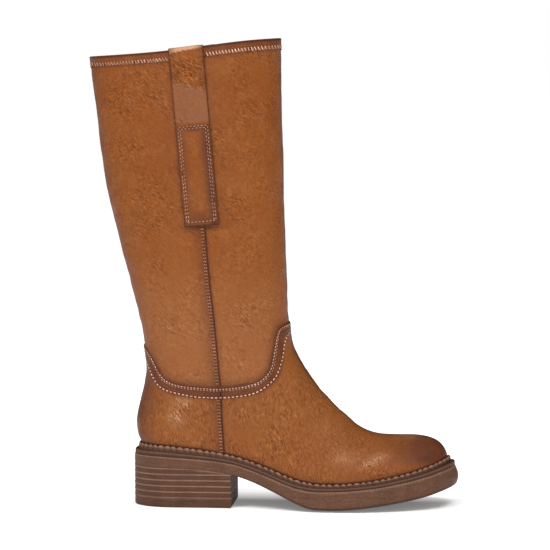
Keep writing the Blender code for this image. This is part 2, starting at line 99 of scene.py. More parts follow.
# The sole seen from the side: its underside, its top edge, how far the welt's rib stands above that
# edge, how far the sole stands out beyond the upper, and how far its side flares towards the ground.
SOLE_COLUMNS = ("x", "under", "top", "rise", "margin", "flare")
SOLE = (
    (-42, 32.7, 42.3, 8.5, 8.0, 0.0),
    (-20, 32.8, 42.3, 8.4, 5.8, 0.0),
    (0, 32.6, 41.3, 8.1, 4.7, 0.0),
    (20, 31.2, 39.7, 7.3, 4.6, 0.0),
    (42, 27.5, 36.8, 6.4, 4.9, 0.0),
    (58, 22.6, 32.2, 6.5, 5.2, 0.2),
    (78, 13.2, 24.9, 6.7, 5.6, 0.4),
    (94, 5.3, 19.4, 6.4, 5.9, 0.6),
    (106, 0.8, 17.3, 5.8, 6.1, 0.8),
    (120, -1.4, 16.9, 5.2, 6.2, 1.0),
    (134, -0.2, 17.5, 5.1, 6.2, 1.1),
    (146, 1.5, 18.4, 5.2, 6.2, 1.3),
    (162, 4.1, 20.0, 5.5, 6.2, 1.5),
    (180, 7.2, 23.0, 6.0, 6.3, 1.8),
    (200, 10.8, 27.0, 7.0, 6.6, 2.4),
    (214, 14.4, 30.8, 8.0, 7.2, 3.0),
    (227, 17.8, 34.4, 8.8, 7.2, 3.4),
)

# Sections of the boot from the sole's edge to the collar, from a point of the back seam to one of the front.
RING_COLUMNS = ("name", "back_x", "back_z", "front_x", "front_z", "half", "back_reach", "front_reach")
RINGS = (
    ("feather", -34.4, 42.6, 216.9, 31.9, 28.0, 33, 60),
    ("rand", -35.8, 50.8, 217.8, 40.1, 28.5, 33, 60),
    ("toe_front", -37.6, 55.0, 214.7, 48.0, 29.2, 34, 60),
    ("toe_edge", -39.0, 59.2, 208.6, 54.0, 29.8, 35, 60),
    ("toe_top", -39.8, 64.0, 197.4, 57.4, 30.4, 36, 60),
    ("toe_box", -39.9, 69.0, 180.0, 57.9, 30.9, 37, 60),
    ("ball", -39.2, 75.0, 162.0, 58.6, 31.5, 38, 60),
    ("vamp", -37.8, 82.0, 146.2, 63.6, 32.2, 40, 60),
    ("low_instep", -35.8, 90.0, 128.2, 77.5, 33.0, 43, 60),
    ("instep", -33.6, 99.0, 111.2, 94.9, 33.8, 46, 60),
    ("throat", -32.3, 109.0, 98.2, 113.2, 34.3, 49, 60),
    ("ankle", -32.0, 120.0, 90.3, 130.2, 34.6, 52, 61),
    ("yoke", -33.5, 134.0, 87.0, 148.0, 35.2, 56, 61),
    ("low_shin", -40.7, 169.0, 85.0, 178.0, 36.8, 63, 64),
    ("shin", -52.2, 214.0, 83.5, 222.0, 38.8, 68, 69),
    ("calf", -63.6, 260.0, 82.0, 270.0, 40.6, 72, 74),
    ("high_calf", -71.6, 316.0, 80.4, 328.0, 41.8, 76, 77),
    ("collar", -77.8, 369.7, 79.6, 384.9, 42.4, 79, 78),
)
CREST_FULLNESS = 2.3
CREST_SLOPE = 2.2
SIDE_SWELL = 0.035
SWELL_HEIGHT = 26 * MM
LEG_START, LEG_FULL = 8 * MM, 92 * MM
INSTEP_SLOPE = (0.84, -0.54)
INSTEP_START, INSTEP_FULL = 15 * MM, 65 * MM
AXIS_LOW, AXIS_FADE = 60 * MM, 60 * MM
AXIS_TOE, AXIS_TOE_FADE = 130 * MM, 60 * MM

# The drop of the collar's edge below a straight line, at thousandths of the way from back to front.
COLLAR_COLUMNS = ("share", "drop")
COLLAR = ((0, 0.0), (150, 0.9), (300, 1.5), (500, 1.4), (700, 0.2), (850, -0.4), (1000, 0.0))

# Line along which the foot part meets the leg, the same on both sides.
YOKE_COLUMNS = ("x", "z")
YOKE = (
    (-36, 134.0), (-29.6, 129.4), (-22.8, 120.8), (-17.6, 112.0), (-11.0, 105.6), (-1.0, 102.2),
    (14.0, 100.7), (32.0, 100.1), (47.0, 101.3), (57.6, 103.4), (65.4, 106.7), (71.0, 112.4),
    (74.2, 121.5), (76.1, 134.5), (78.0, 144.0), (81.6, 149.2), (88.4, 151.8),
)

# ---------------------------------------------------------------- lines and marks of the leather
# Side seam where the rear panels lap over the front ones, from the collar down to the welt.
SEAM = (
    (19.2, 386.0), (19.8, 260.0), (20.9, 232.4), (22.3, 213.4), (25.2, 180.9), (28.2, 152.4),
    (30.3, 129.6), (32.3, 105.9), (32.7, 101.0), (33.4, 74.7), (35.3, 46.9), (35.9, 30.0),
)
# Second row of stitches across the ankle, below the yoke's edge.
LOW_ROW = (
    (-34.6, 131.0), (-31.6, 122.0), (-27.9, 114.4), (-24.1, 107.4), (-18.7, 100.1), (-10.6, 96.2),
    (0.2, 93.9), (12.8, 91.9), (25.0, 91.5), (36.0, 91.5), (50.0, 93.0), (62.1, 96.0),
    (72.4, 102.6), (78.4, 109.4), (81.4, 117.3), (83.4, 127.0), (84.2, 135.2), (86.2, 140.8),
    (88.4, 144.0),
)


# ---------------------------------------------------------------- curves and the last
@functools.cache
def column(columns, table, name):
    """One named column of a table, scaled to metres."""
    index = columns.index(name)
    return np.array([row[index] for row in table], float) * MM


@functools.cache
def spline_bends(knots, values):
    """Second derivatives, at its knots, of the natural cubic spline."""
    count = len(knots)
    step = np.diff(knots)
    slope = np.diff(values) / step
    system = np.eye(count)
    right = np.zeros(count)
    for i in range(1, count - 1):
        system[i, i - 1 : i + 2] = step[i - 1], 2 * (step[i - 1] + step[i]), step[i]
        right[i] = 6 * (slope[i] - slope[i - 1])
    return np.linalg.solve(system, right)


def spline(knots, values, at):
    """Natural cubic spline: the smooth curve through the knots that is straight at both ends."""
    count = len(knots)
    step = np.diff(knots)
    bend = spline_bends(tuple(knots), tuple(values))
    at = np.clip(at, knots[0], knots[-1])
    i = np.clip(np.searchsorted(knots, at) - 1, 0, count - 2)
    past = at - knots[i]
    left = knots[i + 1] - at
    curved = (bend[i] * left**3 + bend[i + 1] * past**3) / (6 * step[i])
    start = values[i] / step[i] - bend[i] * step[i] / 6
    end = values[i + 1] / step[i] - bend[i + 1] * step[i] / 6
    return curved + start * left + end * past


def ease(value):
    """0 below 0, 1 above 1, and a smooth S between."""
    value = np.clip(value, 0, 1)
    return value * value * (3 - 2 * value)


def fade(value, start, reach):
    """0 up to `start` and 1 from `reach` beyond it, both in millimetres, with a smooth S between."""
    return ease((value - start * MM) / (reach * MM))


def round_in(distance, reach, fullness):
    """Share of the full width this far from an end: 0 at the end, 1 from `reach` on and a superellipse
    between."""
    ratio = 1 - np.clip(distance / reach, 0, 1)
    return (1 - ratio**fullness) ** (1 / fullness)


def curve(columns, table, name, at):
    """The spline of a table's named column over its first one."""
    return spline(column(columns, table, columns[0]), column(columns, table, name), at)


def plan(name, x):
    return curve(PLAN_COLUMNS, PLAN, name, x)


def sole(name, x):
    return curve(SOLE_COLUMNS, SOLE, name, x)


def rand_height(x):
    """Height of the line along which the welt's rib ends against the upper."""
    return sole("top", x) + sole("rise", x)


def underside(x):
    """Height of the tread's middle: the curve of the table, eased into the floor where it reaches it."""
    height = sole("under", x) - 1.3 * MM * fade(x, 130, 50)
    return (height + np.hypot(height, 1.1 * MM)) / 2 - 0.05 * MM


@functools.cache
def rings(name):
    return column(RING_COLUMNS, RINGS, name)


def ring_levels():
    """How far up the boot each section lies: the mean of the ways walked up its back and front."""
    back = np.hypot(np.diff(rings("back_x")), np.diff(rings("back_z")))
    front = np.hypot(np.diff(rings("front_x")), np.diff(rings("front_z")))
    return np.concatenate([[0], np.cumsum((back + front) / 2)])


LEVELS = ring_levels()
LEVEL_OF = {row[0]: level for row, level in zip(RINGS, LEVELS)}


def ring(name, level):
    return spline(LEVELS, rings(name), level)


def ends_of(axis, level):
    """x or z of a section's points at the back and the front."""
    return ring("back_" + axis, level), ring("front_" + axis, level)


CREST_LEVELS = np.linspace(LEVEL_OF["throat"], LEVEL_OF["rand"], 500)
CREST_X = ring("front_x", CREST_LEVELS)
CREST_Z = ring("front_z", CREST_LEVELS)


def side_view(share, level):
    """x and z at `share` of the way from back to front of a section. The lowest sections follow the sole's
    curved edge, and higher ones grow straight."""
    (back_x, front_x), (back_z, front_z) = ends_of("x", level), ends_of("z", level)
    x = back_x + (front_x - back_x) * share
    chord = back_z + (front_z - back_z) * share
    rand = LEVEL_OF["rand"]
    rand_back, rand_front = ends_of("x", rand)
    rand_x = rand_back + (rand_front - rand_back) * share
    edge_back, edge_front, edge = rand_height(rand_back), rand_height(rand_front), rand_height(rand_x)
    sag = edge_back + (edge_front - edge_back) * share - edge
    above = chord - sag * (1 - ease((level - rand) / (LEVEL_OF["instep"] - rand)))
    drop = curve(COLLAR_COLUMNS, COLLAR, "drop", share)
    above = above - drop * ease((level - LEVEL_OF["high_calf"]) / (LEVELS[-1] - LEVEL_OF["high_calf"]))
    below = sole("top", x) + GAP + (sole("rise", x) - GAP) * level / rand
    return x, np.where(level < rand, below, above)


def crest_height(x):
    """Height of the foot's top line over x, carried on steeply behind the throat."""
    steep = CREST_Z[0] + CREST_SLOPE * (CREST_X[0] - x)
    return np.where(x < CREST_X[0], steep, np.interp(x, CREST_X, CREST_Z))


def half_width(share, level, x, z, outer):
    """How far the surface stands from the axis line at one side of a section.

    Foot: the plan's width, rounded in at the toe and domed towards the top line. Leg: the section's own
    width, rounded in at its front. The two fade into each other across the instep.
    """
    length = ring("front_x", level) - ring("back_x", level)
    height = z - sole("top", x)
    axis = plan("axis_y", x)
    foot = np.where(outer, axis - plan("outer_y", x), plan("inner_y", x) - axis)
    swell = 1 + SIDE_SWELL * np.sin(math.pi * np.clip(height / SWELL_HEIGHT, 0, 1))
    leg_part = ease((height - LEG_START) / (LEG_FULL - LEG_START))
    body = foot * swell * (1 - leg_part) + ring("half", level) * leg_part
    crest = np.clip(height / (crest_height(x) - sole("top", x)), 0, 1)
    toe_tip = ring("front_x", np.minimum(level, LEVEL_OF["rand"]))
    dome = round_in(toe_tip - x, TOE_REACH, TOE_FULLNESS) * (1 - crest**CREST_FULLNESS) ** 0.5
    front = round_in((1 - share) * length, ring("front_reach", level), END_FULLNESS)
    along = INSTEP_SLOPE[0] * x + INSTEP_SLOPE[1] * z
    toe_part = ease((along - INSTEP_START) / (INSTEP_FULL - INSTEP_START))
    ahead = np.sqrt(dome**2 * toe_part + front**2 * (1 - toe_part))
    return body * ahead * round_in(share * length, ring("back_reach", level), END_FULLNESS)


def axis_line(x, z):
    """y of the line over which a section is drawn: medial over the foot, central up the leg."""
    straight = ease((z - AXIS_LOW) / AXIS_FADE) * ease((AXIS_TOE - x) / AXIS_TOE_FADE)
    return plan("axis_y", x) * (1 - straight)


def placed(share, level, x, z, outer):
    """Points of a section over x and z of the side view, on the outer side or the inner one."""
    width = half_width(share, level, x, z, outer)
    return np.stack([x, axis_line(x, z) + np.where(outer, -width, width), z], -1)


def skin(angle, level):
    """Points of the boot's outer face. The angle runs round a section from the back seam (0) along the
    outer side to the front (pi) and home along the inner side; the level runs up the boot."""
    angle, level = np.broadcast_arrays(np.asarray(angle, float), np.asarray(level, float))
    share = (1 - np.cos(angle)) / 2
    x, z = side_view(share, level)
    return placed(share, level, x, z, np.sin(angle) > 0)


def share_at(x, level):
    """How far x lies on the way from a section's back to its front."""
    back_x, front_x = ends_of("x", level)
    return np.clip((x - back_x) / (front_x - back_x), 0, 1)


def level_through(x, z):
    """Level of the section that passes through a point of the side view, by halving."""
    low = np.zeros(np.shape(x))
    high = np.full(np.shape(x), LEVELS[-1])
    for _ in range(24):
        middle = (low + high) / 2
        below = side_view(share_at(x, middle), middle)[1] < z
        low, high = np.where(below, middle, low), np.where(below, high, middle)
    return (low + high) / 2


def side_skin(x, z, outer):
    """Points of the outer face over x and z of the side view, on one side."""
    level = level_through(x, z)
    return placed(share_at(x, level), level, x, z, outer)


def unit(vectors):
    return vectors / np.linalg.norm(vectors, axis=-1, keepdims=True)


def way_along(line):
    """Distance walked along a line up to each of its points."""
    return np.concatenate([[0], np.cumsum(np.linalg.norm(np.diff(line, axis=0), axis=1))])


def side_normal(x, z, outer):
    """Outward normals there, from the slopes of the surface."""
    step = 0.4 * MM
    along = side_skin(x + step, z, outer) - side_skin(x - step, z, outer)
    up = side_skin(x, z + step, outer) - side_skin(x, z - step, outer)
    return unit(np.cross(along, up) if outer else np.cross(up, along))


def yoke_level(angle):
    """Level at which each angle crosses the yoke line, found on a fine ladder of levels."""
    ladder = np.linspace(LEVEL_OF["low_instep"], LEVEL_OF["low_shin"], 400)[:, None]
    share = (1 - np.cos(angle)) / 2
    x, z = side_view(share, ladder)
    line = curve(YOKE_COLUMNS, YOKE, "z", x)
    first = np.argmax(z > line, axis=0)
    pick = (first, np.arange(len(angle)))
    before = (first - 1, np.arange(len(angle)))
    rise = (line - z)[before] / ((z - line)[pick] + (line - z)[before])
    return ladder[first - 1, 0] + rise * (ladder[first, 0] - ladder[first - 1, 0])


def yoke_clearance(angle, level):
    """Level step that leaves GAP square to the yoke line, which runs steeply at the front."""
    step = 0.5 * MM
    line = skin(angle, level)
    run = unit(np.roll(line, -1, axis=0) - np.roll(line, 1, axis=0))
    rise = (skin(angle, level + step) - skin(angle, level - step)) / (2 * step)
    square = rise - np.sum(rise * run, -1, keepdims=True) * run
    return GAP / np.linalg.norm(square, axis=-1)


def feather_edge(angle):
    return skin(angle, np.zeros(np.shape(angle)))


def outward(angle):
    """Directions square to the feather edge, seen from above."""
    step = 0.001
    ahead = feather_edge(angle + step) - feather_edge(angle - step)
    return unit(np.stack([ahead[:, 1], -ahead[:, 0]], -1))


def outline(angle, margin):
    """The feather edge moved outwards by a margin, seen from above."""
    return feather_edge(angle)[:, :2] + outward(angle) * np.reshape(margin, (-1, 1))


def margin_at(angle):
    """The sole's width beyond the upper at each angle."""
    return sole("margin", feather_edge(angle)[:, 0])


def heel_outline(count):
    """Back of the sole's outline, closed by the straight breast, from the outer corner round the back."""
    feather = feather_edge(np.array([0.0, math.pi]))[:, 0]
    share = (HEEL_BREAST_X - feather[0]) / (feather[1] - feather[0])
    breast_angle = math.acos(1 - 2 * share)
    angle = np.linspace(breast_angle, -breast_angle, count)
    flat = outline(angle, margin_at(angle))
    flat[[0, -1], 0] = HEEL_BREAST_X
    return flat


def heel_taper_at(height):
    """Width of the heel at a height, from the base's share up to 1 under the sole."""
    return HEEL_TAPER + (1 - HEEL_TAPER) * height / HEEL_HEIGHT


def collar_height(x):
    """z of the collar's edge over x."""
    back_x, front_x = rings("back_x")[-1], rings("front_x")[-1]
    return side_view((x - back_x) / (front_x - back_x), LEVELS[-1])[1]


def strap_middle(height):
    """x of the strap's middle line at a height."""
    share = (height - STRAP_FOOT[1]) / (collar_height(STRAP_TOP_X) - STRAP_FOOT[1])
    return STRAP_FOOT[0] + (STRAP_TOP_X - STRAP_FOOT[0]) * share


# ---------------------------------------------------------------- grids, distances and soft patterns
def grid_quads(rows, columns, close_rows=False, close_columns=True):
    """Corners of the quads of a grid. Its columns run back, outer, front, inner and its rows run up, which
    makes the quads face out."""
    row = np.arange(rows if close_rows else rows - 1)[:, None]
    col = np.arange(columns if close_columns else columns - 1)[None, :]
    above, beside = (row + 1) % rows, (col + 1) % columns
    corners = [row * columns + col, row * columns + beside, above * columns + beside, above * columns + col]
    return np.stack(corners, -1).reshape(-1, 4)


def new_piece(name, points, quads, maps=None, sharp=60):
    """A mesh object from corners and quads, smooth but for edges over the `sharp` angle, with its maps of one
    number a corner. A quad whose last two corners are one is a triangle."""
    points = points.reshape(-1, 3)
    quads = np.asarray(quads, np.int32)
    single = (quads[:, 2] == quads[:, 3]) | (quads[:, 0] == quads[:, 1])
    threes = quads[single]
    threes = np.where((threes[:, 0] == threes[:, 1])[:, None], threes[:, [1, 2, 3]], threes[:, :3])
    fours = quads[~single]
    corners = np.concatenate([fours.ravel(), threes.ravel()]).astype(np.int32)
    starts = np.concatenate([np.arange(len(fours)) * 4, len(fours) * 4 + np.arange(len(threes)) * 3])
    mesh = bpy.data.meshes.new(name)
    mesh.vertices.add(len(points))
    mesh.vertices.foreach_set("co", points.astype(np.float32).ravel())
    mesh.loops.add(len(corners))
    mesh.loops.foreach_set("vertex_index", corners)
    mesh.polygons.add(len(starts))
    mesh.polygons.foreach_set("loop_start", starts.astype(np.int32))
    mesh.update(calc_edges=True)
    if mesh.validate():
        raise ValueError(f"{name} has a face that is not valid")
    mesh.shade_smooth()
    mesh.set_sharp_from_angle(angle=math.radians(sharp))
    for key, values in (maps or {}).items():
        attribute = mesh.attributes.new(key, "FLOAT", "POINT")
        attribute.data.foreach_set("value", np.broadcast_to(values, points.shape[:1]).astype(np.float32))
    piece = bpy.data.objects.new(name, mesh)
    bpy.context.scene.collection.objects.link(piece)
    return piece


def finish_piece(piece, material, slot, *nodes):
    """Gives a piece its material, lets it ride with the boot and stand for its CAD nodes; the slot is not
    used.
    """
    piece.data.materials.append(material)
    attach(piece, "root")
    if nodes:
        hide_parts(*nodes)


def normals_of(points):
    """Outward unit normals of a closed grid: the step along its columns crossed with the step up its rows."""
    along = np.gradient(points, axis=1)
    along[:, 0] = points[:, 1] - points[:, -1]
    along[:, -1] = points[:, 0] - points[:, -2]
    return unit(np.cross(along, np.gradient(points, axis=0)))


BATCH = 4000                 # points whose distances are worked out at a time


def distance_to(points, line):
    """Distance from each point to the nearest of a line's close-set points."""
    flat = points.reshape(-1, 3)
    parts = (flat[i : i + BATCH, None] for i in range(0, len(flat), BATCH))
    nearest = [((part - line[None]) ** 2).sum(-1).min(1) for part in parts]
    return np.sqrt(np.concatenate(nearest)).reshape(points.shape[:-1])


def bell(value, middle, width):
    """1 at `middle` and falling away as a bell, down to about a third at `width` from it, in millimetres."""
    return np.exp(-(((value - middle * MM) / (width * MM)) ** 2))


def soft_noise(points, size, seed):
    """Smooth unevenness between about -1 and 1: a sum of sines about `size` long in fixed directions."""
    random = np.random.default_rng(seed)
    total = np.zeros(points.shape[:-1])
    for _ in range(9):
        wave = unit(random.normal(size=3)) / (size * random.uniform(0.7, 1.4))
        total += np.sin(TURN * (points @ wave) + random.uniform(0, TURN))
    return total / 3


def table_line(table):
    """The two columns of a table of points, in metres."""
    return (np.array(table, float) * MM).T


def seam_x(z):
    """x of the side seam at a height."""
    x, height = table_line(SEAM)
    return spline(height[::-1], x[::-1], z)


def even_line(x, z, step):
    """A line through points of the side view, read again at even steps along it."""
    way = np.concatenate([[0], np.cumsum(np.hypot(np.diff(x), np.diff(z)))])
    fine = np.linspace(0, way[-1], 4000)
    fine_x, fine_z = spline(way, x, fine), spline(way, z, fine)
    run = np.concatenate([[0], np.cumsum(np.hypot(np.diff(fine_x), np.diff(fine_z)))])
    at = np.linspace(0, run[-1], max(int(round(run[-1] / step)), 2) + 1)
    return np.interp(at, run, fine_x), np.interp(at, run, fine_z)


def skin_place(x, z, outer):
    """Angle and level of the skin's point over x and z of the side view, on one side."""
    level = level_through(x, z)
    angle = np.arccos(1 - 2 * share_at(x, level))
    return (angle if outer else TURN - angle), level


def skin_normal(angle, level):
    """Outward normals of the skin: its step round the boot crossed with its step up it."""
    round_step, up_step = 0.004, 0.3 * MM
    low = np.maximum(level - up_step, 0)
    high = np.minimum(level + up_step, LEVELS[-1])
    round_way = skin(angle + round_step, level) - skin(angle - round_step, level)
    return unit(np.cross(round_way, skin(angle, high) - skin(angle, low)))


def round_line(x, z):
    """Angle and level along the closed line over both sides of the boot that shows as this line in the side
    view: from back to front along the outer side and home along the inner one."""
    fine_x, fine_z = even_line(x, z, 0.4 * MM)
    angle, level = skin_place(fine_x, fine_z, True)
    keep = np.concatenate([[True], np.diff(angle) > 1e-5])
    angle, level = angle[keep], level[keep]
    return np.concatenate([angle, TURN - angle[::-1]]), np.concatenate([level, level[::-1]])


# ---------------------------------------------------------------- leather: where each part of it lies
# Once round the boot at close steps: angles, the yoke line's levels, and level steps square to that line.
FINE_ANGLES = np.linspace(0, TURN, 1441)
FINE_YOKE = yoke_level(FINE_ANGLES[:-1])
FINE_SQUARE = yoke_clearance(FINE_ANGLES[:-1], FINE_YOKE) / GAP
FINE_YOKE, FINE_SQUARE = (np.append(values, values[0]) for values in (FINE_YOKE, FINE_SQUARE))
# Where columns of the leather's grids lie round the side seam, in millimetres in front of it.
SEAM_STEPS = (
    -12, -8.5, -6, -4.4, -3.3, -2.5, -1.8, -1.2, -0.7, -0.35, -0.1, 0.15, 0.45, 0.9, 1.6, 2.6, 4.2, 7, 11,
)
STEEPEST = 2.6               # largest level step for a step square to the yoke line
YOKE_ROWS = (1.5, 2.8)       # the double row's two lines, in millimetres below the yoke's edge
SEAM_ROWS = (1.3, 2.6)       # the same behind the side seam
HEM_LOW, HEM_HIGH = 9.2 * MM, 5.5 * MM     # the zigzag's two lines below the collar
COLUMNS_BEHIND = 62          # a grid's columns from the back to the side seam
FOOT_ROWS, FOOT_COLUMNS_AHEAD = 92, 128
LEG_ROWS, LEG_COLUMNS_AHEAD = 150, 56
# Profile of the band along the yoke: millimetres below its edge, and how far the leather stands off there.
BAND_DROPS, BAND_RISES = (0, 0.35, 1.2, 5, 9, 12, 16), (0.62, 0.88, 0.92, 0.8, 0.6, 0.25, 0)
# Profile of the tucked tongue: millimetres in under the yoke's edge, and how far the leather is sunk there.
TUCK_DEPTHS, TUCK_SUNK = (0, 1.5, 8.5, 10), (0, 0.42, 0.62, 0.62)
INSTEP_SWELL, INSTEP_FROM, INSTEP_TO = 1.4 * MM, 84, 148     # extra fullness, and where it starts and ends
FOLD_RIDGE, FOLD_WANDER = 1.1, 1.2 * MM    # of a fold: ridges beside it, and how far its line wanders


def yoke_at(angle):
    """Level of the yoke's edge at each angle."""
    return np.interp(angle, FINE_ANGLES, FINE_YOKE)


def square_at(angle):
    """Level step per metre square to the yoke line, kept small where that line runs steeply."""
    return np.minimum(np.interp(angle, FINE_ANGLES, FINE_SQUARE), STEEPEST)


def panel_angles(level_of, rows, behind, ahead):
    """Angles of a grid's columns, row by row: even from the back to the side seam, set close at the steps of
    SEAM_STEPS round the seam, even again to the front, and the same mirrored along the inner side."""
    seam = np.full(rows, 1.2)
    for _ in range(12):
        level = level_of(seam)
        share = (1 - np.cos(seam)) / 2
        back, front = ends_of("x", level)
        share = (seam_x(side_view(share, level)[1]) - back) / (front - back)
        seam = np.arccos(1 - 2 * np.clip(share, 0.02, 0.98))
    per_metre = 2 / ((front - back) * np.sin(seam))
    near = seam[:, None] + np.array(SEAM_STEPS) * MM * per_metre[:, None]
    first = near[:, :1] * np.linspace(0, 1, behind, endpoint=False)
    last = math.pi - (math.pi - near[:, -1:]) * np.linspace(1, 0, ahead + 1)[1:]
    half = np.concatenate([first, near, last], 1)
    return np.concatenate([half, TURN - half[:, -2:0:-1]], 1)


def past_seam(points):
    """How far in front of the side seam a point lies, negative behind it."""
    return points[..., 0] - seam_x(points[..., 2])


def lap_rise(points, height):
    """Rise of the rear panels over the front ones: a step of `height` at the seam that fades out behind it, a
    groove before it and a shallow valley under the two rows of stitches, up to the strap's end."""
    past = past_seam(points)
    below_strap = 1 - fade(points[..., 2], 232, 10)
    step = (1 - fade(past, -0.55, 0.7)) * (1 - fade(-past, 4, 10))
    groove = 0.3 * MM * bell(past, 0.6, 0.9)
    valley = 0.16 * MM * sum(bell(past, -row, 0.55) for row in SEAM_ROWS)
    return (height * step - groove - valley) * below_strap


# Soft folds of the worn leather, the same on both sides: x and z of the middle, how the fold leans off
# upright in degrees, and how long, how wide and how deep it is.
FOLDS = (
    (118, 55, -8, 26, 3.4, 0.35),
    (125, 52, 6, 30, 3.0, 0.42),
    (131, 50, -4, 26, 3.2, 0.32),
    (138, 48, 10, 22, 3.6, 0.28),
    (92, 50, -14, 18, 3.2, 0.25),
    (84, 58, 12, 20, 4.2, 0.22),
    (104, 88, 48, 20, 5.0, 0.30),
    (94, 108, 58, 16, 4.2, 0.26),
    (84, 128, 70, 12, 4.0, 0.22),
    (19, 67, 82, 22, 3.2, 0.24),
    (17, 73, 86, 26, 3.4, 0.20),
    (-16, 88, 60, 16, 4.6, 0.26),
    (-22, 112, 74, 14, 4.0, 0.30),
    (56, 78, 40, 16, 4.0, 0.18),
    (-28, 256, 24, 26, 4.6, 0.35),
    (-36, 247, 30, 22, 4.4, 0.28),
    (58, 268, -26, 26, 5.0, 0.26),
    (-24, 306, 40, 20, 5.0, 0.24),
    (58, 326, -30, 22, 5.0, 0.24),
    (-44, 190, 70, 26, 6.0, 0.34),
    (-30, 164, 76, 26, 6.0, 0.40),
    (-27, 150, 82, 22, 5.0, 0.34),
    (70, 170, 74, 20, 5.4, 0.30),
    (72, 158, 80, 18, 4.6, 0.26),
)


def fold_depth(points):
    """Depth of the folds: each is a trough across its line and a low ridge on both sides of it, which dies
    away towards the line's ends."""
    depth = np.zeros(points.shape[:-1])
    for x, z, lean, length, width, deep in FOLDS:
        east, up = points[..., 0] - x * MM, points[..., 2] - z * MM
        turn_by = math.radians(lean)
        along = (east * math.sin(turn_by) + up * math.cos(turn_by)) / (length * MM)
        wander = FOLD_WANDER * np.sin(along * 4 + x)
        across = (east * math.cos(turn_by) - up * math.sin(turn_by) + wander) / (width * MM)
        depth += deep * MM * (1 - FOLD_RIDGE * across**2) * np.exp(-(across**2) - along**4)
    return depth


def soft_undulation(points):
    """The leather's own slight unevenness: broad swells and finer ones."""
    return 0.22 * MM * soft_noise(points, 46 * MM, 3) + 0.1 * MM * soft_noise(points, 19 * MM, 4)


def yoke_line():
    """Close-set points of the yoke's edge."""
    return skin(FINE_ANGLES, yoke_at(FINE_ANGLES))


def low_row_line():
    """Close-set points of the second row of stitches below the yoke's edge."""
    return skin(*round_line(*table_line(LOW_ROW)))


def back_gap(points):
    """How far in front of the boot's back line a point lies."""
    z = points[..., 2]
    order = np.argsort(rings("back_z"))
    return points[..., 0] - np.interp(z, rings("back_z")[order], rings("back_x")[order])


def blob(points, x, z, wide, high):
    """1 at a point of the side view and falling away in a bell, `wide` along x and `high` along z."""
    across, up = (points[..., 0] - x * MM) / (wide * MM), (points[..., 2] - z * MM) / (high * MM)
    return np.exp(-(across**2) - up**2)


# Spots of fine wrinkles: x and z of the middle, and how far they reach along x and z.
WRINKLE_SPOTS = (
    (124, 47, 12, 13),
    (92, 47, 10, 10),
    (-19, 86, 12, 14),
    (19, 68, 16, 10),
    (49, 75, 14, 12),
    (76, 54, 12, 12),
    (119, 76, 14, 10),
    (-4, 76, 10, 10),
    (-30, 252, 14, 22),
    (58, 268, 16, 18),
    (-32, 348, 14, 12),
    (58, 329, 16, 16),
    (-27, 306, 14, 12),
    (62, 212, 14, 14),
    (-22, 205, 14, 16),
)


def wrinkle_map(points):
    """Where fine wrinkles gather: 1 in the middle of each of the spots, fading round it."""
    total = 0.8 + 0.2 * soft_noise(points, 34 * MM, 8)
    total -= 0.3 * fade(points[..., 2], 100, 20) * (1 - fade(points[..., 2], 200, 40))
    for x, z, wide, high in WRINKLE_SPOTS:
        total = np.maximum(total, blob(points, x, z, wide, high))
    return total * (1 - 0.55 * fade(points[..., 0], 180, 25))


def under_strap(points):
    """1 where the pull strap lies on the leg and 0 away from it."""
    beside = points[..., 0] - strap_middle(points[..., 2])
    return fade(points[..., 2], 226, 8) * bell(beside, 0, 18)


def silhouette_shade(normals):
    """Painted shade along the boot's front and back outlines: 1 where the leather faces straight ahead or
    back, gone where it turns to the sides, and weaker where it looks up."""
    turned = np.abs(normals[..., 1])
    return 0.52 * (1 - ease((turned - 0.03) / 0.33)) * (1 - 0.5 * ease((normals[..., 2] - 0.5) / 0.3))


def silhouette_line(normals):
    """Painted shadow line along the boot's front and back outlines, where the leather faces straight ahead or
    back.
    """
    ahead = 1 - ease((np.abs(normals[..., 1]) - 0.06) / 0.12)
    return 0.3 * ahead * (1 - ease((normals[..., 2] - 0.75) / 0.2))


def highest(*values):
    """The largest of several values at each point."""
    return functools.reduce(np.maximum, values)


def covered(*shares):
    """What several shades cover together: 1 less what all of them leave bare."""
    bare = 1
    for share in shares:
        bare = bare * (1 - share)
    return 1 - bare


def seam_shade(past):
    """Dark band along the side seam, broad behind it and narrow in front."""
    return np.where(past < 0, bell(past, -2, 6.5), bell(past, 0, 2.5))


def foot_offset(look, points, below_edge, row_two):
    """How far the foot part's leather stands off the skin: raised along its upper edge, pressed in under the
    stitches, with the rear panel's lap, the unevenness and the folds, which calm down at the edges."""
    rise = np.interp(below_edge / MM, BAND_DROPS, BAND_RISES) * MM
    valleys = 0.2 * MM * sum(bell(below_edge, row, 0.5) for row in YOKE_ROWS)
    valleys += 0.3 * MM * bell(row_two, 0, 1.1)
    above_welt = points[..., 2] - rand_height(points[..., 0])
    calm = fade(below_edge, 3, 10) * ease(above_welt / (8 * MM))
    along = fade(points[..., 0], INSTEP_FROM, 16) * (1 - fade(points[..., 0], INSTEP_TO - 16, 16))
    instep = INSTEP_SWELL * along * fade(above_welt, 14, 14)
    uneven = soft_undulation(points) - fold_depth(points) + instep
    return rise - valleys + lap_rise(points, look.seam_lap) + calm * uneven


def leg_offset(look, points, from_top, tucked):
    """How far the leg's leather stands off the skin: sunk where it is tucked under the foot part, raised at
    the hem, with the rear panel's lap, the unevenness and the folds."""
    sunk = np.interp(tucked / MM, TUCK_DEPTHS, TUCK_SUNK) * MM
    free = 1 - ease(tucked / (1 * MM))
    calm = free * fade(from_top, 6, 14)
    hem = 0.35 * MM * (1 - fade(from_top, 8.8, 1.2))
    valley = 0.22 * MM * bell(from_top, 7.4, 1.5)
    strap = under_strap(points)
    uneven = calm * (1 - 0.8 * strap) * (1.3 * soft_undulation(points) - fold_depth(points))
    return lap_rise(points, look.seam_lap) * free - sunk + (hem - valley) * (1 - strap) + uneven


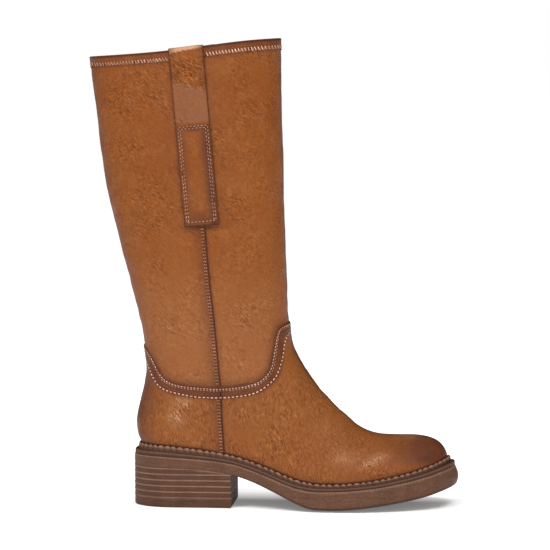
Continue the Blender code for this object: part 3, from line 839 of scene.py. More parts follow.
# ---------------------------------------------------------------- leather pieces
# Rows of the leather's grids near its two edges: millimetres below the yoke line, and below the collar.
YOKE_STEPS = (0, 0.3, 0.7, 1.2, 1.8, 2.4, 3.1, 4, 5, 6, 7, 8, 8.8, 9.5, 10.3, 11.3, 12.6, 14, 15.5)
HEM_STEPS = (14, 12.5, 11, 9.5, 8.2, 7.4, 6.4, 5.2, 4, 3, 2, 1.2, 0.6, 0.2)
TUCK = 9 * MM                # how far the leg's leather reaches in under the foot part
EDGE_RADIUS = 0.42 * MM      # of the foot part's rounded upper edge
HEM_RISE = 0.9 * MM          # height of the collar's rounded edge


def row_values(values, angle):
    """Values of a grid's rows, as a column where the angles are a grid."""
    return values[:, None] if np.ndim(angle) == 2 else values


def inner_rows(last, body, near, far):
    """Rows taken over by the inner face, from the last one down: each `near`th to `body`, each `far`th on."""
    picked = np.concatenate([np.arange(last, body, -near), np.arange(body, -1, -far)])
    return picked if picked[-1] == 0 else np.append(picked, 0)


def leather_piece(name, slot, material, faces, maps):
    """A leather piece from the grids of its outer face, its rim and its inner face. The maps are the outer
    face's; the rest has none of them."""
    grid = np.concatenate(faces)
    rows, columns = grid.shape[:2]
    rest = np.zeros((rows - len(faces[0]), columns))
    maps = {key: np.concatenate([value, rest]).ravel() for key, value in maps.items()}
    piece = new_piece(name, grid, grid_quads(rows, columns, close_rows=True), maps)
    finish_piece(piece, material, "tan_leather", slot)


def upper_maps(base, normal, below_edge, row_two):
    """The foot part's maps: burnish along the seam, the yoke band and over the toe; painted shade along the
    welt and the front and back outlines; darker towards the back, partly burnish and partly painted shade;
    edge paint and painted shadow lines; and painted highlights on the toe, the vamp and the heel."""
    past = past_seam(base)
    x, z = base[..., 0], base[..., 2]
    height = z - rand_height(x)
    # Burnish over the toe, weakened on the toe's top so that the top stays lighter as a painted highlight.
    toe = fade(x, 157, 56) * fade(z, 33, 9)
    toe *= 1 - 0.35 * fade(z, 54, 4) * ease((205 * MM - x) / (20 * MM))
    toe = np.minimum(1.25 * toe, 1)
    # Darker towards the back line: partly the counter's burnish, partly painted shade along the back's
    # outline.
    counter = bell(np.maximum(back_gap(base), 0), 0, 13)
    band = (1 - fade(below_edge, 8.5, 3.5)) * 0.85
    # Painted shade on the upper just above the welt.
    welt_shadow = 0.6 * bell(np.maximum(height, 0), 0, 3)
    burnish = covered(0.55 * seam_shade(past), 0.97 * toe, 0.8 * counter, band, welt_shadow)
    # Dark lines: paint on the yoke's cut edge and along the seam, a dark line along the second row, a painted
    # shadow just above the welt, and the painted shadow line of the front and back outlines.
    line = highest(
        1 - fade(below_edge, 0.15, 0.4),
        bell(past, 0.3, 0.6),
        0.45 * bell(row_two, 0, 0.7),
        0.92 * (1 - fade(height, 0.5, 1.6)),
        silhouette_line(normal),
    )
    # Painted highlights: streaks over the vamp, a sheen on the toe's top and spots on the heel's counter,
    # with a faint pale tint everywhere.
    slanting = base - np.array((0, 0, 0.3)) * (base[..., :1] - 160 * MM)
    pale = highest(
        0.55 * blob(slanting, 160, 41.5, 12, 4),
        0.55 * blob(base, 195, 60, 22, 6),
        0.38 * blob(base, -5, 74, 8, 8),
        0.38 * blob(base, 1, 88, 8, 7),
        0.3 * blob(base, 134, 43, 14, 6),
        np.full(x.shape, 0.06),
    )
    # Painted shade of the front and back outlines, with the whole a little darker.
    burnish = 1 - (1 - burnish) * (1 - silhouette_shade(normal)) * 0.95
    return {"burnish": burnish, "line": line, "pale": pale, "wrinkle": wrinkle_map(base)}


def build_upper_leather(look, material):
    """Foot part. The skin from the welt to the yoke line, raised where it laps over the leg and where the
    rear panel laps over the front one, pushed in by the folds, with a rounded upper edge and an inner
    face."""
    drops = np.array(YOKE_STEPS) * MM
    share = np.concatenate([np.linspace(0, 1, FOOT_ROWS, endpoint=False), np.ones(len(drops))])
    drop = np.concatenate([np.full(FOOT_ROWS, drops[-1]), drops[::-1]])

    def level_of(angle):
        below = row_values(drop, angle) * square_at(angle)
        return (yoke_at(angle) - below) * row_values(share, angle)

    angle = panel_angles(level_of, len(share), COLUMNS_BEHIND, FOOT_COLUMNS_AHEAD)
    base = skin(angle, level_of(angle))
    normal = normals_of(base)
    below_edge = distance_to(base, yoke_line())
    below_edge[-1] = 0
    row_two = distance_to(base, low_row_line())
    offset = foot_offset(look, base, below_edge, row_two)
    outer = base + normal * offset[..., None]
    up = unit(base[-1] - base[-4])
    bend = np.linspace(0, math.pi, 6)[1:-1, None, None]
    middle = offset[-1][:, None] - EDGE_RADIUS
    rim = base[-1] + normal[-1] * (middle + EDGE_RADIUS * np.cos(bend)) + up * EDGE_RADIUS * np.sin(bend)
    picked = inner_rows(len(share) - 1, FOOT_ROWS, 2, 5)
    wall = np.interp(below_edge[picked] / MM, (0, 1.5, 8.5, 13), (0.0, 0.28, 0.45, 1.35)) * MM
    wall[0] = 2 * EDGE_RADIUS - offset[-1]
    inner = base[picked] - normal[picked] * wall[..., None]
    maps = upper_maps(base, normal, below_edge, row_two)
    leather_piece("upper_leather", "upper", material, (outer, rim, inner), maps)


def shaft_maps(base, normal, from_top, above_edge):
    """The leg's maps: burnish along the seam, at the hem and over the yoke; darker beside the strap and down
    the back, partly burnish and partly painted shade; painted shade in the zigzag's valley and along the
    front and back outlines; edge paint, painted shadows along the foot part's edge and under the strap's end;
    and lighter towards the bottom."""
    past = past_seam(base)
    strap_bed = under_strap(base)
    beside = base[..., 0] - strap_middle(base[..., 2])
    # Darker round the strap: partly burnish, partly painted shade.
    strap_side = fade(base[..., 2], 228, 5) * bell(beside, 0, 22)
    ahead = ease(beside / (20 * MM))
    # A darker hem band, stronger ahead of the strap, and painted shade in the zigzag's valley.
    hem = covered((0.38 + 0.3 * ahead) * bell(from_top, 0, 8), 0.45 * bell(from_top, 7.6, 2.8))
    over_yoke = 0.62 * bell(above_edge, 0, 4.5)
    # Darker towards the back line: partly burnish, partly painted shade along the back's outline.
    counter = 0.45 * bell(np.maximum(back_gap(base), 0), 0, 7)
    seam = 0.55 * (seam_shade(past) * (1 - strap_bed))
    # Dark lines: paint along the seam and the collar's edge, a painted shadow on the leg along the foot
    # part's edge and one under the strap's end, and the painted shadow line of the front and back outlines.
    line = highest(
        bell(past, 0.3, 0.6) * (1 - strap_bed),
        bell(from_top, 1.0, 0.9),
        0.95 * bell(above_edge, 0, 0.4),
        0.7 * blob(base, 18.9, 230.8, 13, 2.2) * (base[..., 2] < 234 * MM),
        silhouette_line(normal),
    )
    # Lighter towards the bottom of the leg.
    pale = 0.14 * ease((230 * MM - base[..., 2]) / (90 * MM))
    burnish = covered(seam, 0.38 * strap_side, hem, over_yoke, counter, silhouette_shade(normal))
    return {"burnish": burnish, "line": line, "pale": pale, "wrinkle": wrinkle_map(base)}


def build_shaft_leather(look, material):
    """Leg part. The skin from a tongue tucked under the foot part up to the collar, with the rear panels'
    lap, the folds, a rounded collar edge, a facing turned in and an inner face."""
    top = LEVELS[-1]
    steps = np.array(HEM_STEPS) * MM
    share = np.concatenate([np.linspace(0, 1, LEG_ROWS, endpoint=False), np.ones(len(steps))])
    short = np.concatenate([np.full(LEG_ROWS, steps[0]), steps])

    def level_of(angle):
        start = yoke_at(angle) - TUCK * square_at(angle)
        return start + (top - row_values(short, angle) - start) * row_values(share, angle)

    angle = panel_angles(level_of, len(share), COLUMNS_BEHIND, LEG_COLUMNS_AHEAD)
    level = level_of(angle)
    base = skin(angle, level)
    normal = normals_of(base)
    above_edge = (level - yoke_at(angle)) / square_at(angle)
    from_top = top - level
    offset = leg_offset(look, base, from_top, np.maximum(-above_edge, 0))
    outer = base + normal * offset[..., None]
    up = unit(base[-1] - base[-4])
    bend = np.linspace(0, math.pi, 9)[1:-1, None, None]
    half = WALL / 2
    edge = skin(angle[-1], np.full(angle.shape[1], top - HEM_RISE))
    edge = edge + normal[-1] * (offset[-1][:, None] - half)
    rim = edge + normal[-1] * half * np.cos(bend) + up * HEM_RISE * np.sin(bend)
    picked = inner_rows(len(share) - 1, LEG_ROWS, 2, 6)
    wall = np.interp(from_top[picked] / MM, (0, 12.6, 13.4), (WALL / MM, WALL / MM, 1.3)) * MM
    facing = offset[picked] * (from_top[picked] < 13 * MM)
    inner = base[picked] + normal[picked] * (facing - wall)[..., None]
    maps = shaft_maps(base, normal, from_top, np.maximum(above_edge, 0))
    leather_piece("shaft_leather", "shaft", material, (outer, rim, inner), maps)


LINING_COLUMNS, LINING_ROWS = 200, 90
LINING_TOP = 11.5 * MM       # how far below the collar the lining ends, behind the facing
LINING_OUT, LINING_IN = 1.4 * MM, 2.12 * MM    # how deep in the boot's wall its two faces lie


def build_lining(material):
    """Lining: the skin moved in by the leather's own wall, from behind the collar's facing to the sole."""
    angle = np.linspace(0, TURN, LINING_COLUMNS, endpoint=False)
    level = np.linspace(0, LEVELS[-1] - LINING_TOP, LINING_ROWS)[:, None]
    base = skin(angle, level)
    normal = normals_of(base)
    ripple = 0.12 * MM * soft_noise(base, 30 * MM, 11)[..., None]
    out = base - normal * LINING_OUT
    into = (base - normal * (LINING_IN + ripple))[::-1]
    grid = np.concatenate([out, into])
    piece = new_piece("lining", grid, grid_quads(len(grid), len(angle), close_rows=True))
    finish_piece(piece, material, "lining")


# ---------------------------------------------------------------- pull straps
STRAP_LEAN = 0.09            # slope of the strap's square ends in the side view
BOX_TOP = 313.6 * MM         # height of the stitched box's upper row at the strap's middle line
BOX_FOOT = 3.4 * MM          # from the strap's end up to the box's lower row
SIDE_INSET = 2.2 * MM        # from the strap's edges in to the outer of its two side rows
ROW_STEP = 1.6 * MM          # between the two rows of a double seam on the strap
ROW_DEPTH = 0.24 * MM        # how deep a row of stitches presses the strap in
PUFF = 0.45 * MM             # swell of the loop above the box
CRUSH = 0.32 * MM            # size of the wrinkles near the fold
# Heights on the strap in millimetres: where its polish starts and ends, where wrinkles gather again, where
# the painted highlight along its fold starts and where the painted shade at the fold's corners lies.
POLISH_FROM, POLISH_TO, GATHER_FROM, LIGHT_FROM, FOLD_SHADE_AT = 316, 343, 340, 374.5, 377
STRAP_SLANT = 0.35           # slope of the lines between the polish and the wrinkles


def strap_start(across):
    """Height at which the strap begins to fold over the collar."""
    return collar_height(STRAP_TOP_X + across) - 0.2 * MM


def strap_height(across, share):
    """Height of a point `across` from the middle line, a share of the way from the strap's end to its
    fold."""
    foot = STRAP_FOOT[1] + STRAP_LEAN * across
    return foot + (strap_start(across) - foot) * share


def strap_surface(across, share, rise, outer):
    """Points of a strap. The share runs 0 to 1 up the leg, 1 to 2 round the fold and 2 to 3 down inside; the
    rise is square to the boot's face. On the leg: the skin plus the rise. Round the fold: an arc about the
    middle of the leg's wall. Inside: the skin less its wall and the rise."""
    points = np.empty((*np.broadcast_shapes(across.shape, share.shape, rise.shape), 3))
    across, share, rise = np.broadcast_arrays(across, share, rise)
    on_leg, inside = share <= 1, share >= 2
    folded = ~on_leg & ~inside
    up_leg = strap_height(across[on_leg], share[on_leg])
    down_leg = strap_start(across[inside]) - STRAP_INNER_RUN * (share[inside] - 2)
    for part, height, off in ((on_leg, up_leg, rise[on_leg]), (inside, down_leg, -(WALL + rise[inside]))):
        x = strap_middle(height) + across[part]
        normal = side_normal(x, height - 1 * MM, outer)
        points[part] = side_skin(x, height, outer) + normal * off[:, None]
    bend, out = (share[folded] - 1)[:, None] * math.pi, rise[folded][:, None]
    x, start = STRAP_TOP_X + across[folded], strap_start(across[folded])
    rim = side_skin(x, start, outer)
    square = side_normal(x, start - 1 * MM, outer)
    up = unit(rim - side_skin(x, start - 5 * MM, outer))
    ahead = (WALL / 2 + out) * np.cos(bend) - WALL / 2
    points[folded] = rim + square * ahead + up * (STRAP_FOLD_RISE + out - GAP) * np.sin(bend)
    return points


def strap_maps(across, share, height):
    """The strap's maps: painted shade along its edges, inside the stitched box, near its end and at the
    fold's corners, and dark where hands polish it; painted edges; a painted highlight along the fold and a
    painted sheen on the polish; and wrinkles near the fold and round the box."""
    above_box = height - BOX_TOP
    above_foot = height - STRAP_FOOT[1]
    within = STRAP_WIDTH / 2 - np.abs(across)
    slant = height + STRAP_SLANT * across
    edge = highest(bell(within, 0, 0.75), bell(above_foot, 0, 0.9) * (share < 1))
    polish = fade(height, POLISH_FROM, 2) * (1 - fade(slant, POLISH_TO, 7)) * (share < 1)
    # Painted shade inside the box's rows, stronger on one side, near the strap's end and its corners, under
    # the box's top row, along the edges and at the fold's corners; the polish is darker in its own right.
    shade = highest(
        (0.8 + 0.2 * np.sign(across)) * bell(within, 3.8, 5.2) * (above_box < 1 * MM),
        0.75 * bell(above_foot, 5, 7),
        0.8 * bell(above_box, -1.6, 3.4),
        0.9 * bell(above_foot, 3, 5) * bell(within, 0, 9),
        0.42 * polish,
        0.45 * bell(within, 0, 5),
        0.8 * bell(height, FOLD_SHADE_AT, 7) * bell(within, 0, 5),
    )
    # Painted highlight along the fold.
    fold_highlight = fade(height - STRAP_LEAN * across, LIGHT_FROM, 1.2) * (1 - ease((share - 1.35) / 0.2))
    near_box = slant < (POLISH_FROM + 2) * MM
    gathered = np.maximum(fade(slant, GATHER_FROM, 8) * (1 - fold_highlight), 0.55 * near_box)
    wrinkle = highest(1.4 * gathered * ~near_box, gathered, 0.3 - 0.12 * polish)
    # Painted highlight along the fold and painted sheen on the polish.
    pale = 1.6 * fold_highlight + 0.26 * polish
    return {"burnish": shade, "line": edge, "pale": pale, "wrinkle": wrinkle, "polish": polish}


def strap_rise(across, share, height, high, outer):
    """How far each point stands off the boot: the band's thickness times its share `high` of it, pressed in
    under the rows of stitches, puffed up and crushed between the box and the fold."""
    half = STRAP_WIDTH / 2
    above_box = height - BOX_TOP
    within = half - np.abs(across)
    rows = bell(within - SIDE_INSET, 0, 0.6) + bell(within - SIDE_INSET - ROW_STEP, 0, 0.6)
    rows = rows * (above_box < 0) + bell(above_box, 0, 0.7) + bell(above_box + ROW_STEP, 0, 0.7)
    rows += bell(height - STRAP_FOOT[1] - BOX_FOOT, 0, 0.7)
    loop = ease(above_box / (12 * MM)) * (share < 1.001)
    puff = PUFF * loop * (1 - (across / half) ** 2)
    grain = np.stack(np.broadcast_arrays(across, height * 0.9, 0 * height), -1)
    crush = CRUSH * loop * fade(height, 342, 10) * (share < 1) * soft_noise(grain, 7 * MM, 21)
    face = STRAP_THICK + puff + crush - ROW_DEPTH * rows
    rise = GAP + high * face + (1 - high) * (0.25 * MM * loop)
    if outer:
        corner = np.sin(math.pi * np.clip(share - 1, 0, 1)) * high
        rise = rise - 0.5 * MM * fade(across, 8, 6) * corner
    return rise


def build_pull_strap(material, name, node, outer):
    """Pull strap. A flat band with rounded edges carried up the leg, over the collar and down inside. Its
    outer face swells between the rows of stitches and above the stitched box, and is wrinkled near the fold;
    a row drawn in beyond each end and a fan of triangles close it."""
    half = STRAP_WIDTH / 2
    fold = np.linspace(0, 1, 22)[1:]
    share = np.concatenate([np.linspace(0, 1, 150), 1 + fold, 2 + fold])[:, None]
    flat = np.linspace(-half + 0.5 * MM, half - 0.5 * MM, 54)
    side = np.array((0.16, 0.05, 0.0, 0.0, 0.06, 0.2)) * MM
    level = np.array((1.0, 0.86, 0.62, 0.38, 0.14, 0.0))
    across = np.concatenate([flat, half - side, flat[::-3], -half + side[::-1]])[None]
    high = np.concatenate([np.ones(len(flat)), level, np.zeros(len(flat[::-3])), level[::-1]])[None]
    height = strap_height(across, np.minimum(share, 1)) - STRAP_LEAN * across
    points = strap_surface(across, share, strap_rise(across, share, height, high, outer), outer)
    caps = []
    for end, beyond in ((points[0], points[1]), (points[-1], points[-2])):
        caps.append((end + (end - beyond) * 0.35 + (end.mean(0) - end) * 0.02)[None])
    grid = np.concatenate([caps[0], points, caps[1]])
    order = slice(None, None, 1 if outer else -1)
    grid = grid[:, order]
    middles, fans = end_fans(grid)
    maps = {}
    for key, value in strap_maps(across, share, height).items():
        value = np.broadcast_to(value, points.shape[:2])
        value = np.concatenate([value[:1], value, value[-1:]])[:, order]
        maps[key] = np.concatenate([value.ravel(), [value[0].mean(), value[-1].mean()]])
    corners = np.concatenate([grid.reshape(-1, 3), middles])
    quads = np.concatenate([grid_quads(*grid.shape[:2]), fans])
    piece = new_piece(name, corners, quads, maps)
    finish_piece(piece, material, "tan_leather", node)


def end_fans(grid):
    """Two middle points and the fans of triangles that close a tube's first and last rows."""
    columns = grid.shape[1]
    total = grid.shape[0] * columns
    middles = np.stack([grid[0].mean(0), grid[-1].mean(0)])
    i = np.arange(columns)
    j = (i + 1) % columns
    last = total - columns
    low = np.stack([j, i, np.full(columns, total), np.full(columns, total)], -1)
    high = np.stack([last + i, last + j, np.full(columns, total + 1), np.full(columns, total + 1)], -1)
    return middles, np.concatenate([low, high])


# ---------------------------------------------------------------- stitches
SIDES = 6                    # corners round a thread
THREAD_WAY = np.array((-1.0, -0.72, -0.25, 0.25, 0.72, 1.0))     # its rows, from one end to the other
THREAD_THICK = np.array((0.45, 0.92, 1.0, 1.0, 0.92, 0.45))      # its thickness at each row
THREAD_CORNERS = SIDES * len(THREAD_WAY)
SINK = 0.35                  # how deep a thread lies in the leather, in radii
# Needle holes are dark tubes between the stitches that paint the shade in the holes.
HOLE_SHADE, HOLE_FROM = 2.0, 1.5     # shade given to a needle hole, and the shade above which one is drawn


def stitch_tubes(start, end, normal, radius, arch):
    """Corners and quads of one thread for each start and end: six sides carried along a low arch, whose ends
    dip into the leather. The arch's height is one less the square of the way along."""
    along = end - start
    middle = (start + end) / 2
    beside = unit(np.cross(normal, along))
    lift = arch * (1 - THREAD_WAY**2) - SINK * radius
    centre = middle[:, None] + along[:, None] * THREAD_WAY[:, None] / 2 + normal[:, None] * lift[:, None]
    turn_by = np.arange(SIDES) * TURN / SIDES
    ring_out = normal[:, None] * np.sin(turn_by)[:, None] + beside[:, None] * np.cos(turn_by)[:, None]
    points = centre[:, :, None] + ring_out[:, None] * (radius * THREAD_THICK)[:, None, None]
    low = np.array([[3, 2, 1, 0], [5, 4, 3, 0]])
    high = np.array([[0, 1, 2, 3], [0, 3, 4, 5]]) + THREAD_CORNERS - SIDES
    one = np.concatenate([grid_quads(len(THREAD_WAY), SIDES), low, high])
    quads = one[None] + (np.arange(len(start)) * THREAD_CORNERS)[:, None, None]
    return points.reshape(-1, 3), quads.reshape(-1, 4)


def add_threads(name, runs, material, holes, dull):
    """One piece from several runs of stitches, each made by stitch_tubes, with a number a stitch for its
    shade, a run's `dull` more than chance gives, and from the needle holes between them, dark tubes of
    painted shade."""
    points, quads, shades, base = [], [], [], 0
    random = np.random.default_rng(17)
    for order, (run_points, run_quads) in enumerate([*runs, *holes]):
        points.append(run_points)
        quads.append(run_quads + base)
        shade = random.uniform(0, 0.8, len(run_points) // THREAD_CORNERS)
        shade = shade + dull[order] if order < len(runs) else np.full(len(shade), HOLE_SHADE)
        shades.append(np.repeat(shade, THREAD_CORNERS))
        base += len(run_points)
    maps = {"shade": np.concatenate(shades)}
    piece = new_piece(name, np.concatenate(points), np.concatenate(quads), maps, 80)
    finish_piece(piece, material, "thread")



def stitch_run(angle, level, pitch, fill, offset_of, radius, arch, shift=0.0):
    """Stitches along a line of angles and levels: at even steps of `pitch` on the leather, each filling a
    share of its step, standing off the skin as `offset_of` gives for its points. `shift` slides them by a
    share of a step."""
    way = way_along(skin(angle, level))
    count = max(int(round(way[-1] / pitch)), 1)
    step = way[-1] / count
    ends = []
    for share in ((1 - fill) / 2, (1 + fill) / 2):
        at = (np.arange(count) + share + shift) * step
        at_angle, at_level = np.interp(at, way, angle), np.interp(at, way, level)
        base = skin(at_angle, at_level)
        normal = skin_normal(at_angle, at_level)
        ends.append(base + normal * offset_of(base)[:, None])
    middle = (np.arange(count) + 0.5 + shift) * step
    normal = skin_normal(np.interp(middle, way, angle), np.interp(middle, way, level))
    return stitch_tubes(ends[0], ends[1], normal, radius, arch)


def build_yoke_stitches(look, stitching, material):
    """The fine double row just under the yoke's edge and the single longer row at the band's foot."""
    edge, low = yoke_line(), low_row_line()

    def offset_of(points):
        return foot_offset(look, points, distance_to(points, edge), distance_to(points, low)) + 0.14 * MM

    def sunk(points):
        return offset_of(points) - 0.1 * MM

    angle, pitch = FINE_ANGLES, stitching.fine_pitch
    # Needle holes between the stitches: dark tubes that paint the shade in the holes.
    runs, holes = [], []
    for drop, radius in zip(YOKE_ROWS, (0.34 * MM, 0.24 * MM)):
        level = yoke_at(angle) - drop * MM * FINE_SQUARE
        runs.append(stitch_run(angle, level, pitch, 0.62, offset_of, radius, 0.16 * MM))
        holes.append(stitch_run(angle, level, pitch, 0.4, sunk, 0.42 * MM, 0.05 * MM, 0.5))
    angle, level = round_line(*table_line(LOW_ROW))
    runs.append(stitch_run(angle, level, stitching.long_pitch, 0.62, offset_of, 0.44 * MM, 0.2 * MM))
    holes.append(stitch_run(angle, level, stitching.long_pitch, 0.36, sunk, 0.5 * MM, 0.05 * MM, 0.5))
    add_threads("yoke_stitches", runs, material, holes, (0.1, 0.6, 0.0))


def build_seam_stitches(look, stitching, material):
    """Two fine rows behind each side seam, on the foot part from the welt to the band and on the leg from the
    yoke's edge to the strap."""
    edge, low = yoke_line(), low_row_line()
    # Needle holes between the stitches: dark tubes that paint the shade in the holes.
    runs, holes = [], []
    for outer in (True, False):
        for foot, bottom, top in ((True, 45.5 * MM, 90.5 * MM), (False, 102.0 * MM, 231.5 * MM)):
            z = np.linspace(bottom, top, 300)
            for behind in SEAM_ROWS:
                angle, level = skin_place(seam_x(z) - behind * MM, z, outer)

                def offset_of(points, foot=foot):
                    if foot:
                        gap_edge, gap_low = distance_to(points, edge), distance_to(points, low)
                        return foot_offset(look, points, gap_edge, gap_low) + 0.12 * MM
                    far = np.full(points.shape[:-1], 100 * MM)
                    return leg_offset(look, points, far, 0 * far) + 0.12 * MM

                if not outer:
                    angle, level = angle[::-1], level[::-1]
                line = (angle, level, stitching.fine_pitch)
                runs.append(stitch_run(*line, 0.4, offset_of, 0.24 * MM, 0.12 * MM))
                holes.append(stitch_run(*line, 0.5, offset_of, 0.36 * MM, 0.0, 0.5))
    add_threads("seam_stitches", runs, material, holes, (0.65, 0.7) * 4)


HEM_LENGTH = 318 * MM        # way round the hem that the zigzag's steps share out


def build_collar_stitches(look, stitching, material):
    """A zigzag round the hem, away from the straps: threads from the lower line to the upper one and back,
    set wider over the sharper bends at the front and back."""
    count = int(round(HEM_LENGTH / stitching.zigzag_pitch))
    fine = np.linspace(0, TURN, 2000)
    widened = 1 + 0.9 * np.abs(np.cos((fine[1:] + fine[:-1]) / 2)) ** 6
    rows = []
    for drop, shift in ((HEM_LOW, 0.0), (HEM_HIGH, 0.5)):
        level = LEVELS[-1] - drop
        line = skin(fine, np.full(len(fine), level))
        way = np.concatenate([[0], np.cumsum(np.linalg.norm(np.diff(line, axis=0), axis=1) / widened)])
        step = way[-1] / count
        angle = np.interp((np.arange(count + 1) + shift) * step % way[-1], way, fine)
        levels = np.full(count + 1, level)
        base, normal = skin(angle, levels), skin_normal(angle, levels)
        gap = np.full(len(base), drop)
        rows.append((base + normal * (leg_offset(look, base, gap, 0 * gap) + 0.16 * MM)[:, None], normal))
    (low_line, normals), (high_line, _) = rows
    beside = low_line[:-1, 0] - strap_middle(low_line[:-1, 2])
    shown = np.abs(beside) > STRAP_WIDTH / 2 + 0.6 * MM
    start, end, following = low_line[:-1][shown], high_line[:-1][shown], low_line[1:][shown]
    normal, ahead = normals[:-1][shown], beside[shown] > 0
    runs, dull = [], []
    for part, shade, thick in ((ahead, 0.0, 0.4), (~ahead, 0.6, 0.32)):
        low, high, after, out = start[part], end[part], following[part], normal[part]
        runs.append(stitch_tubes(low, low + (high - low) * 0.9, out, 0.15 * MM, 0.08 * MM))
        runs.append(stitch_tubes(high, high + (after - high) * 0.8, out, thick * MM, 0.16 * MM))
        dull += [0.9, shade]
    # Needle holes at the zigzag's foot: dark tubes that paint the shade in the holes.
    hole = 0.2 * unit(end - start) * MM
    holes = [stitch_tubes(start - hole, start + hole, normal, 0.42 * MM, 0.1 * MM)]
    add_threads("collar_stitches", runs, material, holes, dull)


def build_strap_stitches(stitching, material):
    """The stitched box of each strap: double rows down both sides and across the top, one across the foot."""
    wide, foot = STRAP_WIDTH / 2 - SIDE_INSET, STRAP_FOOT[1] + BOX_FOOT
    lines = []
    for step in (0.0, ROW_STEP):
        side, top = wide - step, BOX_TOP - step
        lines += [((across, foot), (across, top)) for across in (-side, side)]
        lines.append(((-side, top), (side, top)))
    lines.append(((-wide, foot), (wide, foot)))
    marks = []
    for line in np.array(lines):
        start, run = line[0], line[1] - line[0]
        count = int(round(math.hypot(*run) / stitching.strap_pitch))
        at = (np.arange(count)[:, None] + (0.2, 0.8, 0.9, 1.1)) / count
        marks.append(start + run * at[..., None])
    across, height = np.moveaxis(np.concatenate(marks), -1, 0)
    # Needle holes between the stitches: dark tubes that paint the shade in the holes.
    runs, holes = [], []
    for outer in (True, False):
        start = strap_start(across)
        foot_line = STRAP_FOOT[1] + STRAP_LEAN * across
        way = (height + STRAP_LEAN * across - foot_line) / (start - foot_line)
        rise = np.full(across.shape, GAP + STRAP_THICK - 0.08 * MM)
        ends = strap_surface(across, way, rise, outer)
        higher = strap_surface(across[:, 1:2], way[:, 1:2], rise[:, 1:2] + 1 * MM, outer)
        out = unit(higher[:, 0] - ends[:, 1])
        runs.append(stitch_tubes(ends[:, 0], ends[:, 1], out, 0.24 * MM, 0.12 * MM))
        holes.append(stitch_tubes(ends[:, 2], ends[:, 3], out, 0.4 * MM, 0.04 * MM))
    add_threads("strap_stitches", runs, material, holes, (0.75, 0.75))


# ---------------------------------------------------------------- sole, welt, heel and insole
def even_angles(count, reach):
    """An even number of angles round the foot, the same on both sides, at about even steps along an outline
    that lies `reach` of the sole's width outside it."""
    fine = np.linspace(0, math.pi, 1500)
    way = way_along(outline(fine, margin_at(fine) * reach))
    half = np.interp(np.linspace(0, way[-1], count // 2 + 1), way, fine)
    return np.concatenate([half, TURN - half[-2:0:-1]])


def deck_over(row, start, first_new, across, upwards, height_of):
    """Closes a row that begins at the back with a sheet of `across` strips from side to side. Its new corners
    are the straight blend of the two sides, moved in height by `height_of`. Gives corners and quads."""
    around = len(row)
    i = np.arange(1, around // 2)
    share = np.linspace(0, 1, across + 1)[1:-1, None]
    left, right = row[i][:, None], row[around - i][:, None]
    inner = left + (right - left) * share
    inner[..., 2] += height_of(inner) * ease(share[:, 0] * (1 - share[:, 0]) * 12)
    index = first_new + np.arange(len(i) * (across - 1)).reshape(len(i), across - 1)
    index = np.concatenate([start + i[:, None], index, start + (around - i)[:, None]], 1)
    quads = np.stack([index[:-1, :-1], index[1:, :-1], index[1:, 1:], index[:-1, 1:]], -1).reshape(-1, 4)
    back = np.full(across, start)
    front = np.full(across, start + around // 2)
    low = np.stack([index[0, :-1], index[0, 1:], back, back], -1)
    high = np.stack([index[-1, 1:], index[-1, :-1], front, front], -1)
    fans = np.concatenate([low, high])
    if not upwards:
        quads, fans = quads[:, ::-1], fans[:, [1, 0, 2, 3]]
    return inner.reshape(-1, 3), np.concatenate([quads, fans])


def no_height(points):
    """Heights of a sheet that stays flat between its sides."""
    return 0 * points[..., 0]


def sheeted(name, grid, lower, upper, maps, sharp):
    """A piece from the rows of its side wall, closed by a sheet across its first row and one across its last.
    Each sheet is given by its count of strips and its heights, and takes 0 of every map."""
    rows, around = grid.shape[:2]
    points, quads, total = [grid.reshape(-1, 3)], [grid_quads(rows, around)], rows * around
    for row, start, upwards, sheet in ((grid[0], 0, False, lower), (grid[-1], total - around, True, upper)):
        new_points, new_quads = deck_over(row, start, total, sheet[0], upwards, sheet[1])
        points.append(new_points)
        quads.append(new_quads)
        total += len(new_points)
    rest = np.zeros(total - rows * around)
    maps = {key: np.concatenate([value.ravel(), rest]) for key, value in maps.items()}
    return new_piece(name, np.concatenate(points), np.concatenate(quads), maps, sharp)


# Rows of the tread towards its edge: millimetres out from the wall's foot, share of the crown and
# millimetres up.
TREAD_ROWS = (
    (-15, 0.0, 0.0), (-10, 0.2, 0.0), (-5, 0.45, 0.0), (-2.6, 0.7, 0.02),
    (-1.2, 0.85, 0.25), (-0.5, 0.92, 0.62), (-0.1, 0.97, 1.05), (0.0, 1.0, 1.5),
)
TREAD_EDGE = TREAD_ROWS[-1][2] * MM
DECK_ROWS = ((0.05, 0.4), (0.35, 0.72), (0.8, 0.8))    # millimetres in and up over the wall's upper end
DECK_STEP = DECK_ROWS[-1][1] * MM
SOLE_AROUND, TREAD_STRIPS, DECK_STRIPS = 560, 26, 8     # corners round the sole, strips across its faces
TREAD_FROM, TREAD_TO = 84, 217     # millimetres in front of the origin between which the tread is cut


